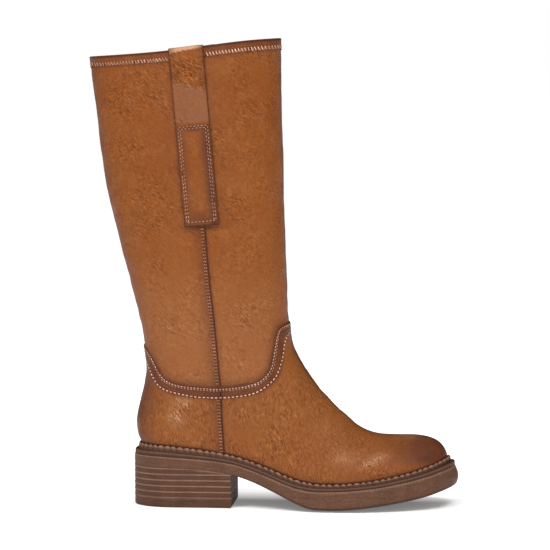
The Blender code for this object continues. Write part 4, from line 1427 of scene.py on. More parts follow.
def build_outsole(rubber, material):
    """Sole unit. Rows from the tread's middle round its lower edge, up the flaring wall and over the upper
    edge to the deck; the deck and the tread are sheets from side to side, and the tread is cut by cross
    grooves."""
    around = SOLE_AROUND
    angle = even_angles(around, 1.0)
    margin = margin_at(angle)
    foot_x = feather_edge(angle)[:, 0]
    crown = SOLE_CROWN * ease((foot_x - CROWN_START_X) / (CROWN_FULL_X - CROWN_START_X))
    flare = sole("flare", foot_x)
    tip = fade(foot_x, 185, 40)
    rows, shares = [], []
    free = 0.1 + 0.9 * fade(foot_x - HEEL_BREAST_X, -2, 8)
    for inset, crown_share, lift in TREAD_ROWS:
        flat = outline(angle, margin + flare + (inset - 1.6 * tip * crown_share) * MM)
        rows.append(np.column_stack([flat, underside(flat[:, 0]) + crown * crown_share + lift * MM * free]))
        shares.append(np.full(around, min(lift / 12, 0.12)))
    low_flat = outline(angle, margin + flare)
    low = underside(low_flat[:, 0]) + crown + TREAD_EDGE * free
    side = outline(angle, margin)
    high = sole("top", side[:, 0]) - DECK_STEP
    way = way_along(side)
    notch = 0.5 - 0.5 * np.cos(TURN * way / (way[-1] / round(way[-1] / rubber.notch_pitch)))
    for share in np.linspace(0, 1, 16)[1:]:
        raised = np.column_stack([side, np.full(around, share * 9 * MM)])
        wave = 0.1 * MM * soft_noise(raised, 14 * MM, 31)
        belly = (0.9 * math.sin(math.pi * share) - 1.6 * (1 - share) ** 5) * tip * MM
        flat = outline(angle, margin + flare * (1 - share) + belly + wave * math.sin(math.pi * share))
        rows.append(np.column_stack([flat, low + (high - low) * share]))
        shares.append(np.full(around, 0.12 + 0.8 * share))
    lights = np.zeros((len(rows) + 3, around))
    lights[-5:] = np.array((0.3, 0.8, 1, 1, 1))[:, None] * (1 - 0.75 * notch)
    for inset, lift in DECK_ROWS:
        flat = outline(angle, margin - inset * MM)
        rows.append(np.column_stack([flat, high + (lift - 0.3 * lift * notch) * MM]))
        shares.append(np.full(around, 0.92 + 0.1 * lift))

    def groove(points):
        x, y = points[..., 0], points[..., 1]
        bow = 6 * MM * np.cos((y - 4 * MM) / (26 * MM))
        phase = (x + bow) / rubber.tread_pitch
        cut = ease((np.abs(phase % 1 - 0.5) - 0.28) / 0.1)
        zone = fade(x, TREAD_FROM, 6) * (1 - fade(x, TREAD_TO - 5, 5))
        return 1.1 * MM * cut * zone

    # The wall map gives painted shade on the tread and round the wall's lower edge; the edge map lightens the
    # upper edge.
    maps = {"wall": np.stack(shares), "edge": lights}
    lower, upper = (TREAD_STRIPS, groove), (DECK_STRIPS, no_height)
    piece = sheeted("outsole_rubber", np.stack(rows), lower, upper, maps, 50)
    finish_piece(piece, material, "brown_rubber", "outsole")


# Profile of the welt strip: the line it is measured from (0 foot, 1 rand), the face it is measured to and
# millimetres out from that, share of the strip's rise, how much of the lobes and of the scallops it takes,
# how far the lobes have slid along by there, how much painted shade it takes in its recesses, and how light
# it is.
WELT_PROFILE = (
    (0, "in", 0.0, 0.0, 0.0, 0.0, 0.0, 1.0, 0.0),
    (0, "out", 0.0, 0.0, 0.0, 0.0, 0.0, 1.0, 0.0),
    (0, "out", 0.0, 0.13, 0.0, 0.0, 0.0, 1.0, 0.0),
    (0, "out", 0.0, 0.2, 0.0, 0.0, 0.0, 0.7, 0.1),
    (0, "out", -0.05, 0.31, 0.0, 0.0, 0.0, 0.25, 0.35),
    (0, "out", -0.3, 0.38, 0.0, 0.0, 0.0, 0.25, 0.35),
    (0, "out", -0.8, 0.42, 0.0, 0.0, 0.0, 0.6, 0.0),
    (0, "out", -1.6, 0.43, 0.0, 0.0, 0.0, 0.9, 0.0),
    (1, "rib", 0.9, 0.44, 0.0, 0.0, 0.0, 1.0, 0.0),
    (1, "rib", 0.35, 0.46, 0.25, 0.0, 0.0, 1.0, 0.0),
    (1, "rib", 0.12, 0.53, 0.7, 0.0, 0.06, 0.7, 0.0),
    (1, "rib", 0.05, 0.6, 1.0, 0.15, 0.18, 0.55, 0.0),
    (1, "rib", 0.0, 0.7, 1.0, 0.35, 0.30, 0.4, 0.12),
    (1, "rib", -0.05, 0.82, 0.9, 0.65, 0.42, 0.0, 0.6),
    (1, "rib", -0.3, 0.93, 0.5, 1.0, 0.5, 0.0, 1.0),
    (1, "rib", -0.8, 1.0, 0.2, 1.15, 0.5, 0.0, 1.0),
    (1, "rib", -1.4, 0.99, 0.0, 1.15, 0.5, 0.8, 0.0),
    (1, "in", 0.0, 0.93, 0.0, 0.6, 0.5, 1.0, 0.0),
    (1, "in", 0.0, 0.5, 0.0, 0.0, 0.0, 1.0, 0.0),
)
LOBE_COLUMNS = 9             # of the grid, to each lobe
LOBE_POWER = 0.6
LOBE_DEPTH = 0.75 * MM
MARK_DEPTH = 0.16 * MM       # of the cross marks on the ledge


def build_welt_strip(rubber, material):
    """Welt strip all round. The profile carried along the foot; its rib is cut into slanting rope-like lobes
    by the 0.6 power of a sine along it, and the ledge carries fine cross marks."""
    fine = np.linspace(0, TURN, 4001)
    way = way_along(outline(fine, margin_at(fine) * 0.5))
    lobes = int(round(way[-1] / rubber.lobe_pitch))
    around = lobes * LOBE_COLUMNS
    at = np.arange(around) / around
    angle = np.interp(at * way[-1], way, fine)
    foot, rand = feather_edge(angle), skin(angle, LEVEL_OF["rand"])
    direction = outward(angle)
    edge = margin_at(angle) - WELT_INSET
    hand = np.where(at < 0.5, 1.0, -1.0)
    jitter = 0.07 * np.sin(at * TURN * 37) + 0.03 * np.sin(at * TURN * 83 + 1)
    rows, crest, low = [], [], []
    for from_rand, kind, out, share, lobe_share, scallop_share, slide, dark, light in WELT_PROFILE:
        phase = at * lobes + jitter + hand * slide * 0.4
        lobe = np.abs(np.sin(math.pi * phase)) ** LOBE_POWER
        base = rand if from_rand else foot
        distance = {"in": GAP, "out": edge, "rib": GAP + WELT_RIB}[kind] + out * MM
        distance = distance + lobe_share * (lobe - 0.75) * LOBE_DEPTH
        flat = base[:, :2] + direction * np.reshape(distance * np.ones(around), (-1, 1))
        rise = GAP + (sole("rise", flat[:, 0]) - GAP) * share
        rise = rise + scallop_share * (lobe - 0.72) * rubber.scallop_depth
        if kind == "out" and share > 0.3:
            mark = 0.5 + 0.5 * np.cos(TURN * at * lobes * 2)
            rise = rise - MARK_DEPTH * mark
            light = light * (1 - 0.7 * mark)
        rows.append(np.column_stack([flat, sole("top", flat[:, 0]) + rise]))
        # Lighter on the lobes' tops; painted shade in the recesses, deeper between the lobes.
        crest.append(light * (1 - 1.3 * lobe_share * (1 - lobe)))
        low.append(np.clip(dark + 1.3 * lobe_share * (1 - lobe), 0, 1))
    grid = np.stack(rows)
    maps = {"crest": np.stack(crest).ravel(), "hollow": np.stack(low).ravel()}
    piece = new_piece("welt_strip", grid, grid_quads(len(rows), around, close_rows=True), maps, 75)
    finish_piece(piece, material, "brown_rubber", "welt")


def ladder_quads(start, count, upwards):
    """Sheet across an open outline that begins and ends at the two corners of the breast."""
    i = np.arange(count // 2 - 1)
    quads = start + np.stack([i, i + 1, count - 2 - i, count - 1 - i], -1)
    return quads if upwards else quads[:, ::-1]


def heel_rows(heights_of, proud_of, count):
    """Rows of the heel's outline, narrowed towards the floor, each pushed out by its share of the ridges."""
    base = heel_outline(count)[::-1]
    ahead = np.gradient(base, axis=0)
    ahead[[0, -1]] = ahead[[1, -2]]
    out = unit(np.column_stack([ahead[:, 1], -ahead[:, 0]]))
    rows = []
    for heights in heights_of(base[:, 0]):
        push = proud_of(heights)
        flat = base * np.column_stack([np.ones(count), heel_taper_at(heights)]) + out * push[:, None]
        flat[[0, -1], 0] = HEEL_BREAST_X + np.minimum(push[[0, -1]], 0)
        rows.append(np.column_stack([flat, heights]))
    return np.stack(rows)


def heel_piece(name, node, material, grid, ridge):
    """A piece of the heel from its rows, closed by the flat breast and by a sheet below and above."""
    rows, count = grid.shape[:2]
    sheets = [ladder_quads(0, count, False), ladder_quads((rows - 1) * count, count, True)]
    quads = np.concatenate([grid_quads(rows, count), *sheets])
    piece = new_piece(name, grid, quads, {"ridge": ridge.ravel()}, 50)
    finish_piece(piece, material, "stacked_heel", node)


HEEL_COLUMNS = 240           # round each of the heel's pieces
HEEL_ROWS = 84               # up the block
# Rows of the bottom layer, in millimetres over the floor.
LIFT_ROWS = (0, 0.08, 0.35, 0.8, 1.4, 2.4, 3.4, 4.4, 5.4, 6.4, 7.1, 7.5, 7.7)


def build_heel_block(rubber, material):
    """Stacked heel. Rows of its outline from the bottom layer to the seat, with a thin proud ridge at each of
    the stack's layers and a flat breast."""

    def heights_of(x):
        top = underside(x) - 0.05 * MM
        return HEEL_LIFT + (top - HEEL_LIFT) * np.linspace(0, 1, HEEL_ROWS)[:, None]

    def off_layer(z):
        step = (z - HEEL_LIFT) / rubber.layer_pitch
        return (step - np.round(step)) * rubber.layer_pitch

    def proud_of(z):
        gap = np.abs(off_layer(z))
        return (0.34 * bell(gap, 0, 0.5) - 0.3 * bell(gap, 1.1, 0.4)) * MM

    grid = heel_rows(heights_of, proud_of, HEEL_COLUMNS)
    below_seat = underside(grid[..., 0]) - grid[..., 2]
    ridge = np.maximum(bell(off_layer(grid[..., 2]), 0, 0.6), bell(below_seat, 0, 0.9))
    heel_piece("heel_block", "heel", material, grid, ridge)


def build_heel_bottom(material):
    """Bottom layer of the heel: the same outline between the floor and the block, with an eased lower
    edge."""
    levels = np.array(LIFT_ROWS) * MM

    def proud_of(z):
        low = -0.6 * MM * (1 - fade(z, -0.2, 0.9))
        return low - 0.2 * MM * fade(z, 7.2, 0.5)

    grid = heel_rows(lambda x: levels[:, None] + 0 * x, proud_of, HEEL_COLUMNS)
    ridge = 0.8 * bell(grid[..., 2], 7.6, 0.5)
    heel_piece("heel_bottom", "heel_lift", material, grid, ridge)


FOOTBED_ROWS = ((0.6, 0.0), (0.1, 0.4), (0.0, 1.2), (0.1, 2.3), (0.6, 2.9), (1.4, 3.0))    # mm in and up


def build_sock(material):
    """Footbed: the insole board's outline with rounded edges and a top face that dishes a little in the
    middle."""
    around = 160
    angle = even_angles(around, 0.0)
    rows = []
    for inset, height in FOOTBED_ROWS:
        flat = outline(angle, np.full(around, -WALL - FIT_GAP - inset * MM))
        rows.append(np.column_stack([flat, sole("top", flat[:, 0]) + GAP + height * MM]))

    def dish(points):
        hollow = 1 - (points[..., 1] / (34 * MM)) ** 2
        return -0.5 * MM * hollow * fade(points[..., 0], -30, 20)

    piece = sheeted("sock", np.stack(rows), (6, no_height), (14, dish), {}, 60)
    finish_piece(piece, material, "insole_board", "insole")




# ---------------------------------------------------------------- materials
def feed(tree, node, inputs):
    """Links a node's inputs to sockets or sets them to values."""
    for key, value in inputs.items():
        if isinstance(value, bpy.types.NodeSocket):
            tree.links.new(value, node.inputs[key])
        else:
            node.inputs[key].default_value = value


def add_node(tree, kind, inputs=None, **settings):
    """A node with its settings and its inputs."""
    node = tree.nodes.new(kind)
    for key, value in settings.items():
        setattr(node, key, value)
    feed(tree, node, inputs or {})
    return node


def calc(tree, operation, *values, clamp=False):
    """One step of arithmetic."""
    inputs = dict(enumerate(values))
    return add_node(tree, "ShaderNodeMath", inputs, operation=operation, use_clamp=clamp).outputs[0]


def times(tree, first, second, clamp=False):
    """Two values multiplied."""
    return calc(tree, "MULTIPLY", first, second, clamp=clamp)


def plus(tree, first, second, clamp=False):
    """Two values added."""
    return calc(tree, "ADD", first, second, clamp=clamp)


def vector_step(tree, operation, inputs):
    """One step of vector arithmetic."""
    return add_node(tree, "ShaderNodeVectorMath", inputs, operation=operation).outputs[0]


def object_place(tree):
    """Coordinates in metres, in the boot's own frame."""
    return add_node(tree, "ShaderNodeTexCoord").outputs["Object"]


def parts_of(tree, vector):
    """The X, Y and Z of a vector."""
    return add_node(tree, "ShaderNodeSeparateXYZ", {0: vector}).outputs


def grey(tree, value):
    """A value as a colour."""
    return add_node(tree, "ShaderNodeCombineColor", dict.fromkeys(range(3), value)).outputs[0]


def remap(tree, value, low, high, to_low=0.0, to_high=1.0):
    """The value's way from `low` to `high`, carried over to another range and kept inside it."""
    inputs = {"Value": value, "From Min": low, "From Max": high, "To Min": to_low, "To Max": to_high}
    return add_node(tree, "ShaderNodeMapRange", inputs).outputs["Result"]


def mix_colour(tree, share, first, second, mode="MIX"):
    """Two colours mixed by a share."""
    inputs = {0: share, 6: first, 7: second}
    return add_node(tree, "ShaderNodeMix", inputs, data_type="RGBA", blend_type=mode).outputs[2]


def noise(tree, vector, scale, detail=3.0, rough=0.5):
    """Soft noise of `scale` waves a metre."""
    inputs = {"Vector": vector, "Scale": scale, "Detail": detail, "Roughness": rough}
    return add_node(tree, "ShaderNodeTexNoise", inputs).outputs["Fac"]


def stretched(tree, vector, scale, turned=(0.0, 0.0, 0.0)):
    """Coordinates turned, then stretched by a scale along each axis."""
    turn_node = add_node(tree, "ShaderNodeMapping", {"Vector": vector, "Rotation": turned})
    return add_node(tree, "ShaderNodeMapping", {"Vector": turn_node.outputs[0], "Scale": scale}).outputs[0]


def read_map(tree, name):
    """A piece's own map of one number a corner."""
    return add_node(tree, "ShaderNodeAttribute", attribute_name=name).outputs["Fac"]


def new_group(name, inputs, outputs):
    """A shader group with named inputs, given with their defaults, and named outputs."""
    tree = bpy.data.node_groups.new(name, "ShaderNodeTree")
    for label, default in inputs.items():
        kind = "NodeSocketFloat" if isinstance(default, float) else "NodeSocketColor"
        socket = tree.interface.new_socket(name=label, in_out="INPUT", socket_type=kind)
        socket.default_value = default
    for label, kind in outputs.items():
        tree.interface.new_socket(name=label, in_out="OUTPUT", socket_type=kind)
    return tree, tree.nodes.new("NodeGroupInput").outputs, tree.nodes.new("NodeGroupOutput").inputs


def use_group(tree, name, inputs):
    """A shared shader group set to work in a tree."""
    return add_node(tree, "ShaderNodeGroup", inputs, node_tree=bpy.data.node_groups[name]).outputs


def rgba(colour):
    return (*colour, 1.0)


def make_tone_group():
    """Leather's colour: cloudy shades at three sizes, painted shade in the creases and the painted light and
    shade of their relief, a pale mask of painted highlights, a dark mask of burnish and painted shade whose
    border is broken up by the clouds, and the dark lines of edge paint and painted shadows."""
    colours = {
        "Base": (0.3, 0.12, 0.05),
        "Deep": (0.2, 0.08, 0.03),
        "Pale": (0.5, 0.25, 0.13),
        "Burnish": (0.1, 0.05, 0.03),
        "Line": (0.03, 0.015, 0.01),
    }
    masks = ("Pale Mask", "Burnish Mask", "Line Mask", "Crease Mask", "Relief")
    start = {key: rgba(value) for key, value in colours.items()} | dict.fromkeys(masks, 0.0) | {"Mottle": 1.0}
    outputs = {"Colour": "NodeSocketColor", "Cloud": "NodeSocketFloat"}
    tree, given, result = new_group("leather_tone", start, outputs)
    place = object_place(tree)
    broad = noise(tree, place, 17.0, 3.0, 0.55)
    cloud = noise(tree, place, 85.0, 5.0, 0.62)
    speck = noise(tree, place, 620.0, 3.0, 0.6)
    deep_share = times(tree, remap(tree, broad, 0.42, 0.66), 0.42)
    deep_share = plus(tree, deep_share, remap(tree, cloud, 0.5, 0.75, 0.0, 0.12))
    deep_share = times(tree, deep_share, given["Mottle"])
    # Painted shade in the creases.
    deep_share = plus(tree, deep_share, times(tree, given["Crease Mask"], 0.16), clamp=True)
    colour = mix_colour(tree, deep_share, given["Base"], given["Deep"])
    light_share = remap(tree, cloud, 0.32, 0.5, 0.05, 0.0)
    light_share = times(tree, light_share, given["Mottle"])
    # Painted highlights from the pale mask, broken by the clouds.
    rubbed = times(tree, given["Pale Mask"], remap(tree, cloud, 0.3, 0.6, 0.65, 1.0))
    colour = mix_colour(tree, calc(tree, "MAXIMUM", light_share, rubbed), colour, given["Pale"])
    # Fine specks, and the painted light and shade of the crease relief.
    grain = plus(tree, remap(tree, speck, 0.3, 0.7, 0.96, 1.04), times(tree, given["Relief"], 0.4))
    colour = mix_colour(tree, 1.0, colour, grey(tree, grain), "MULTIPLY")
    # Burnish and painted shade from the dark mask, its border broken by the clouds.
    broken = times(tree, given["Burnish Mask"], remap(tree, cloud, 0.3, 0.7, 0.72, 1.12), clamp=True)
    colour = mix_colour(tree, broken, colour, given["Burnish"])
    # Edge paint and painted shadow lines.
    tree.links.new(mix_colour(tree, given["Line Mask"], colour, given["Line"]), result["Colour"])
    tree.links.new(cloud, result["Cloud"])


def make_grain_group():
    """Leather's surface: shallow pebbles about a millimetre across, and short creases about two millimetres
    apart that lean back on the leg and stand nearly upright on the foot, deeper where wrinkles gather and in
    patches. Height is in millimetres, Crease marks the troughs that the tone darkens as painted shade, and
    Crease Shading is painted light on the crests and painted shade in the troughs, about 0 on the whole."""
    start = {"Wrinkle": 0.0, "Pebble Height": 0.05, "Crease Height": 0.3}
    outputs = {"Height": "NodeSocketFloat", "Crease": "NodeSocketFloat", "Relief": "NodeSocketFloat"}
    tree, given, result = new_group("leather_grain", start, outputs)
    place = object_place(tree)
    wander = add_node(tree, "ShaderNodeTexNoise", {"Vector": place, "Scale": 260.0, "Detail": 0.0})
    centred = vector_step(tree, "SUBTRACT", {0: wander.outputs["Color"], 1: (0.5, 0.5, 0.5)})
    scaled = vector_step(tree, "SCALE", {0: centred, "Scale": 0.003})
    bent = vector_step(tree, "ADD", {0: place, 1: scaled})
    on_leg = remap(tree, parts_of(tree, place)["Z"], 0.08, 0.15)
    waves, swells = [], []
    for lean, part in ((0.3, calc(tree, "SUBTRACT", 1.0, on_leg)), (0.95, on_leg)):
        lain = stretched(tree, bent, (700.0, 600.0, 270.0), (0.0, lean, 0.0))
        cells = {"Vector": lain, "Scale": 1.0}
        cell = add_node(tree, "ShaderNodeTexVoronoi", cells, feature="DISTANCE_TO_EDGE")
        waves.append(times(tree, cell.outputs["Distance"], part))
        lain = stretched(tree, bent, (1000.0, 760.0, 230.0), (0.0, lean, 0.0))
        swells.append(times(tree, noise(tree, lain, 1.0, 0.0), part))
    wave = plus(tree, *waves)
    broad = calc(tree, "SUBTRACT", plus(tree, *swells), 0.5)
    net = remap(tree, wave, 0.0, 0.09, 1.0, 0.0)
    wave = remap(tree, wave, 0.0, 0.34, -0.5, 0.5)
    patch = remap(tree, noise(tree, place, 40.0, 2.0, 0.5), 0.36, 0.64, 0.4, 1.0)
    depth = times(tree, given["Wrinkle"], patch)
    crease = times(tree, net, depth, clamp=True)
    rolling = times(tree, plus(tree, times(tree, wave, 0.14), broad), depth)
    cut = times(tree, rolling, given["Crease Height"])
    cells = {"Vector": bent, "Scale": 820.0, "Smoothness": 0.6}
    pebble = add_node(tree, "ShaderNodeTexVoronoi", cells, feature="SMOOTH_F1").outputs["Distance"]
    pebble = times(tree, calc(tree, "SUBTRACT", 0.5, pebble), given["Pebble Height"])
    tree.links.new(plus(tree, pebble, cut), result["Height"])
    tree.links.new(crease, result["Crease"])
    # Painted light on the crests and painted shade in the troughs.
    crease_shading = plus(tree, plus(tree, times(tree, wave, 0.9), times(tree, broad, 3.6)), 0.16)
    tree.links.new(times(tree, crease_shading, depth), result["Relief"])


def make_brush_group():
    """Sole edge's finish: streaks brushed along the boot, cloudy wear and fine grit, with a height for the
    bump."""
    colours = {"Base": (0.18, 0.1, 0.06), "Dark": (0.08, 0.04, 0.03), "Light": (0.3, 0.2, 0.14)}
    start = {key: rgba(value) for key, value in colours.items()}
    start |= {"Streak": 1.0, "Light Mask": 0.0, "Dark Mask": 0.0}
    outputs = {"Colour": "NodeSocketColor", "Height": "NodeSocketFloat"}
    tree, given, result = new_group("brushed_edge", start, outputs)
    place = object_place(tree)
    lines = noise(tree, stretched(tree, place, (60.0, 60.0, 1300.0)), 1.0, 3.0, 0.65)
    cloud = noise(tree, place, 110.0, 4.0, 0.6)
    grit = noise(tree, place, 1500.0, 2.0, 0.6)
    shade = times(tree, remap(tree, lines, 0.35, 0.7), given["Streak"])
    shade = plus(tree, times(tree, shade, 0.5), remap(tree, cloud, 0.35, 0.7, 0.0, 0.35))
    colour = mix_colour(tree, shade, given["Base"], given["Dark"])
    light = times(tree, given["Light Mask"], remap(tree, cloud, 0.3, 0.65, 1.0, 0.6), clamp=True)
    colour = mix_colour(tree, light, colour, given["Light"])
    specks = remap(tree, grit, 0.56, 0.74, 0.0, 0.55)
    colour = mix_colour(tree, specks, colour, given["Light"])
    # The dark mask: painted shade of the welt's recesses and the sole's lower edge, and the heel's darker
    # stack between its ridges.
    dark = times(tree, given["Dark Mask"], remap(tree, grit, 0.3, 0.7, 0.8, 1.1), clamp=True)
    colour = mix_colour(tree, dark, colour, given["Dark"])
    tree.links.new(colour, result["Colour"])
    height = plus(tree, times(tree, lines, 0.1), times(tree, grit, 0.07))
    tree.links.new(height, result["Height"])


def new_material(name):
    """A material and its node tree."""
    material = bpy.data.materials.new(name)
    material.use_nodes = True
    return material, material.node_tree


def finish_material(material, colour, rough, specular, height):
    """Feeds a material's shader, with a height in millimetres as its bump."""
    tree = material.node_tree
    bump = {"Height": height, "Distance": MM, "Strength": 1.0}
    inputs = {"Base Color": colour, "Roughness": rough, "Specular IOR Level": specular}
    inputs["Normal"] = add_node(tree, "ShaderNodeBump", bump).outputs[0]
    feed(tree, tree.nodes["Principled BSDF"], inputs)
    return material


# Leathers: height of their pebbles and of their creases in millimetres, and how cloudy they are.
LEATHERS = {"boot_leather": (0.05, 1.1, 1.0), "strap_leather": (0.05, 1.2, 0.9)}


def leather_material(name, look):
    """Oiled leather with its tone, grain and a roughness that follows the clouds and the creases."""
    material, tree = new_material(name)
    pebble, crease, mottle = LEATHERS[name]
    wrinkle = read_map(tree, "wrinkle")
    heights = {"Wrinkle": wrinkle, "Pebble Height": pebble, "Crease Height": crease}
    grain = use_group(tree, "leather_grain", heights)
    # The painted highlights of the pale mask gather on the creases' crests.
    crest_highlight = plus(tree, 0.78, times(tree, grain["Relief"], 0.85))
    tone = {
        "Base": rgba(look.tan),
        "Deep": rgba(look.deep),
        "Pale": rgba(look.pale),
        "Burnish": rgba(look.burnish),
        "Line": rgba(look.line),
        "Pale Mask": times(tree, read_map(tree, "pale"), crest_highlight, clamp=True),
        "Line Mask": read_map(tree, "line"),
        "Crease Mask": grain["Crease"],
        "Relief": grain["Relief"],
        "Burnish Mask": read_map(tree, "burnish"),
        "Mottle": mottle,
    }
    tone = use_group(tree, "leather_tone", tone)
    clouded = remap(tree, tone["Cloud"], 0.3, 0.7, 0.4, 0.54)
    rough = plus(tree, clouded, times(tree, grain["Crease"], 0.1))
    return finish_material(material, tone["Colour"], rough, 0.1, grain["Height"])


def strap_material(name, look):
    """The straps' leather: the tone of the rest, with a smooth dark patch polished by hands."""
    material = leather_material(name, look)
    tree = material.node_tree
    rough = tree.nodes["Principled BSDF"].inputs["Roughness"]
    polish = times(tree, read_map(tree, "polish"), 0.14)
    tree.links.new(calc(tree, "SUBTRACT", rough.links[0].from_socket, polish), rough)
    return material


def lining_material(name, look):
    """Soft suede-like lining: fine fibres and slow clouds."""
    material, tree = new_material(name)
    place = object_place(tree)
    cloud = noise(tree, place, 40.0, 5.0, 0.6)
    fibre = noise(tree, stretched(tree, place, (900.0, 900.0, 300.0)), 1.0, 4.0, 0.7)
    shade = plus(tree, remap(tree, cloud, 0.35, 0.65, 0.0, 0.6), remap(tree, fibre, 0.35, 0.7, 0.0, 0.4))
    colour = mix_colour(tree, shade, rgba(look.lining), rgba(look.lining_dark))
    rough = remap(tree, fibre, 0.3, 0.7, 0.82, 0.95)
    return finish_material(material, colour, rough, 0.2, times(tree, fibre, 0.12))


def thread_material(name, stitching):
    """Waxed thread: twisted strands across it, a shade that differs from stitch to stitch, and the painted
    shade of the needle holes."""
    material, tree = new_material(name)
    place = object_place(tree)
    strand = noise(tree, place, 2600.0, 2.0, 0.5)
    wear = noise(tree, place, 45.0, 3.0, 0.5)
    shade = read_map(tree, "shade")
    share = plus(tree, times(tree, shade, 0.6), remap(tree, wear, 0.4, 0.62, 0.0, 0.5), clamp=True)
    muted = rgba(stitching.muted)
    colour = mix_colour(tree, share, rgba(stitching.bright), muted)
    colour = mix_colour(tree, remap(tree, strand, 0.35, 0.6, 0.3, 0.0), colour, muted)
    # Needle holes drawn in the dark hole colour: painted shade.
    hole = calc(tree, "GREATER_THAN", shade, HOLE_FROM)
    colour = mix_colour(tree, hole, colour, rgba(stitching.hole))
    rough = remap(tree, strand, 0.3, 0.7, 0.55, 0.75)
    return finish_material(material, colour, rough, 0.15, times(tree, strand, 0.12))


# Painted edges: the map of their light mask, the map of their dark one and the range it is carried over to,
# how strong the streaks are and how many times its height the bump is. The dark mask paints shade round the
# sole's lower edge and in the welt's recesses, and darkens the heel between its ridges.
EDGES = {
    "sole_edge": ("edge", "wall", (0.05, 0.17, 0.75, 0.0), 1.0, 1.6),
    "welt_cord": ("crest", "hollow", (0.0, 1.0, 0.0, 0.97), 0.5, 1.2),
    "stacked_layers": ("ridge", "ridge", (0.0, 1.0, 0.3, 0.0), 0.9, 3.4),
}


def edge_material(name, rubber):
    """Painted edge of the sole, the welt or the heel."""
    material, tree = new_material(name)
    light, dark, dark_range, streak, depth = EDGES[name]
    inputs = {
        "Base": rgba(rubber.base),
        "Dark": rgba(rubber.dark),
        "Light": rgba(rubber.light),
        "Streak": streak,
        "Light Mask": times(tree, read_map(tree, light), 0.9),
        "Dark Mask": remap(tree, read_map(tree, dark), *dark_range),
    }
    finish = use_group(tree, "brushed_edge", inputs)
    rough = remap(tree, finish["Height"], 0.04, 0.12, 0.5, 0.68)
    return finish_material(material, finish["Colour"], rough, 0.15, times(tree, finish["Height"], depth))


def footbed_material(name, look):
    """Pressed board footbed: flecked and cloudy."""
    material, tree = new_material(name)
    place = object_place(tree)
    fleck = noise(tree, place, 420.0, 4.0, 0.7)
    cloud = noise(tree, place, 30.0, 3.0, 0.5)
    shade = plus(tree, remap(tree, fleck, 0.45, 0.7, 0.0, 0.5), remap(tree, cloud, 0.4, 0.6, 0.0, 0.5))
    colour = mix_colour(tree, shade, rgba(look.board), rgba(look.lining_dark))
    rough = remap(tree, fleck, 0.3, 0.7, 0.7, 0.9)
    return finish_material(material, colour, rough, 0.5, times(tree, fleck, 0.1))


# ---------------------------------------------------------------- settings
def number_property(name, description, default, **kind):
    return bpy.props.FloatProperty(name=name, description=description, default=default, **kind)


def length_property(name, description, default, smallest=0.0, largest=1.0):
    limits = {"min": smallest, "max": largest, "precision": 5}
    return number_property(name, description, default, subtype="DISTANCE", unit="LENGTH", **limits)


def angle_property(name, description, degrees):
    return number_property(name, description, math.radians(degrees), subtype="ANGLE", unit="ROTATION")


def power_property(name, description, default):
    return number_property(name, description, default, min=0.0, subtype="POWER", unit="POWER")


def share_property(name, description, default, largest):
    return number_property(name, description, default, min=0.0, max=largest, subtype="FACTOR")


def colour_property(name, description, default):
    return bpy.props.FloatVectorProperty(
        name=name, description=description, default=default, size=3, min=0.0, max=1.0, subtype="COLOR"
    )


class BootLeather(bpy.types.PropertyGroup):
    """Colours and sizes of the leather, its lining and the footbed"""

    tan: colour_property("Tan", "Main colour of the leather", (0.184, 0.055, 0.0102))
    deep: colour_property("Deep", "Cloudy darker shade of the leather", (0.15, 0.035, 0.0042))
    # The pale colour also paints the highlights on the toe, the vamp, the heel and the strap.
    pale: colour_property("Pale", "Rubbed lighter shade of the leather", (0.44, 0.245, 0.14))
    # The burnish colour also paints the shade along the welt, the outlines, the back and round the strap.
    burnish: colour_property("Burnish", "Dark shade rubbed along seams, toe and heel", (0.076, 0.0225, 0.011))
    # The edge paint also paints the shadow lines above the welt, along the foot part's edge, under the
    # strap's end and along the outlines.
    line: colour_property("Edge paint", "Dark paint on the leather's cut edges", (0.045, 0.011, 0.006))
    lining: colour_property("Lining", "Colour of the lining", (0.3, 0.16, 0.08))
    lining_dark: colour_property("Lining shade", "Darker shade of lining and footbed", (0.2, 0.1, 0.05))
    board: colour_property("Footbed", "Colour of the footbed", (0.42, 0.27, 0.15))
    seam_lap: length_property("Seam lap", "Rise of rear panels over front ones", 0.85 * MM, 0.0, 0.002)


class BootStitching(bpy.types.PropertyGroup):
    """Colours and steps of the stitching"""

    bright: colour_property("Bright thread", "Thread where it is clean", (0.8, 0.52, 0.39))
    muted: colour_property("Muted thread", "Thread where it is worn", (0.36, 0.18, 0.12))
    # The needle holes' colour is painted shade in the holes.
    hole: colour_property("Needle holes", "Shade of the holes between stitches", (0.02, 0.008, 0.006))
    fine_pitch: length_property("Fine stitch", "Step of the double rows", 2.65 * MM, 0.001, 0.01)
    long_pitch: length_property("Long stitch", "Step of the ankle's second row", 3.45 * MM, 0.001, 0.01)
    strap_pitch: length_property("Strap stitch", "Step of the pull straps' rows", 3.0 * MM, 0.001, 0.01)
    zigzag_pitch: length_property("Zigzag", "Step of the zigzag round the hem", 2.4 * MM, 0.001, 0.01)


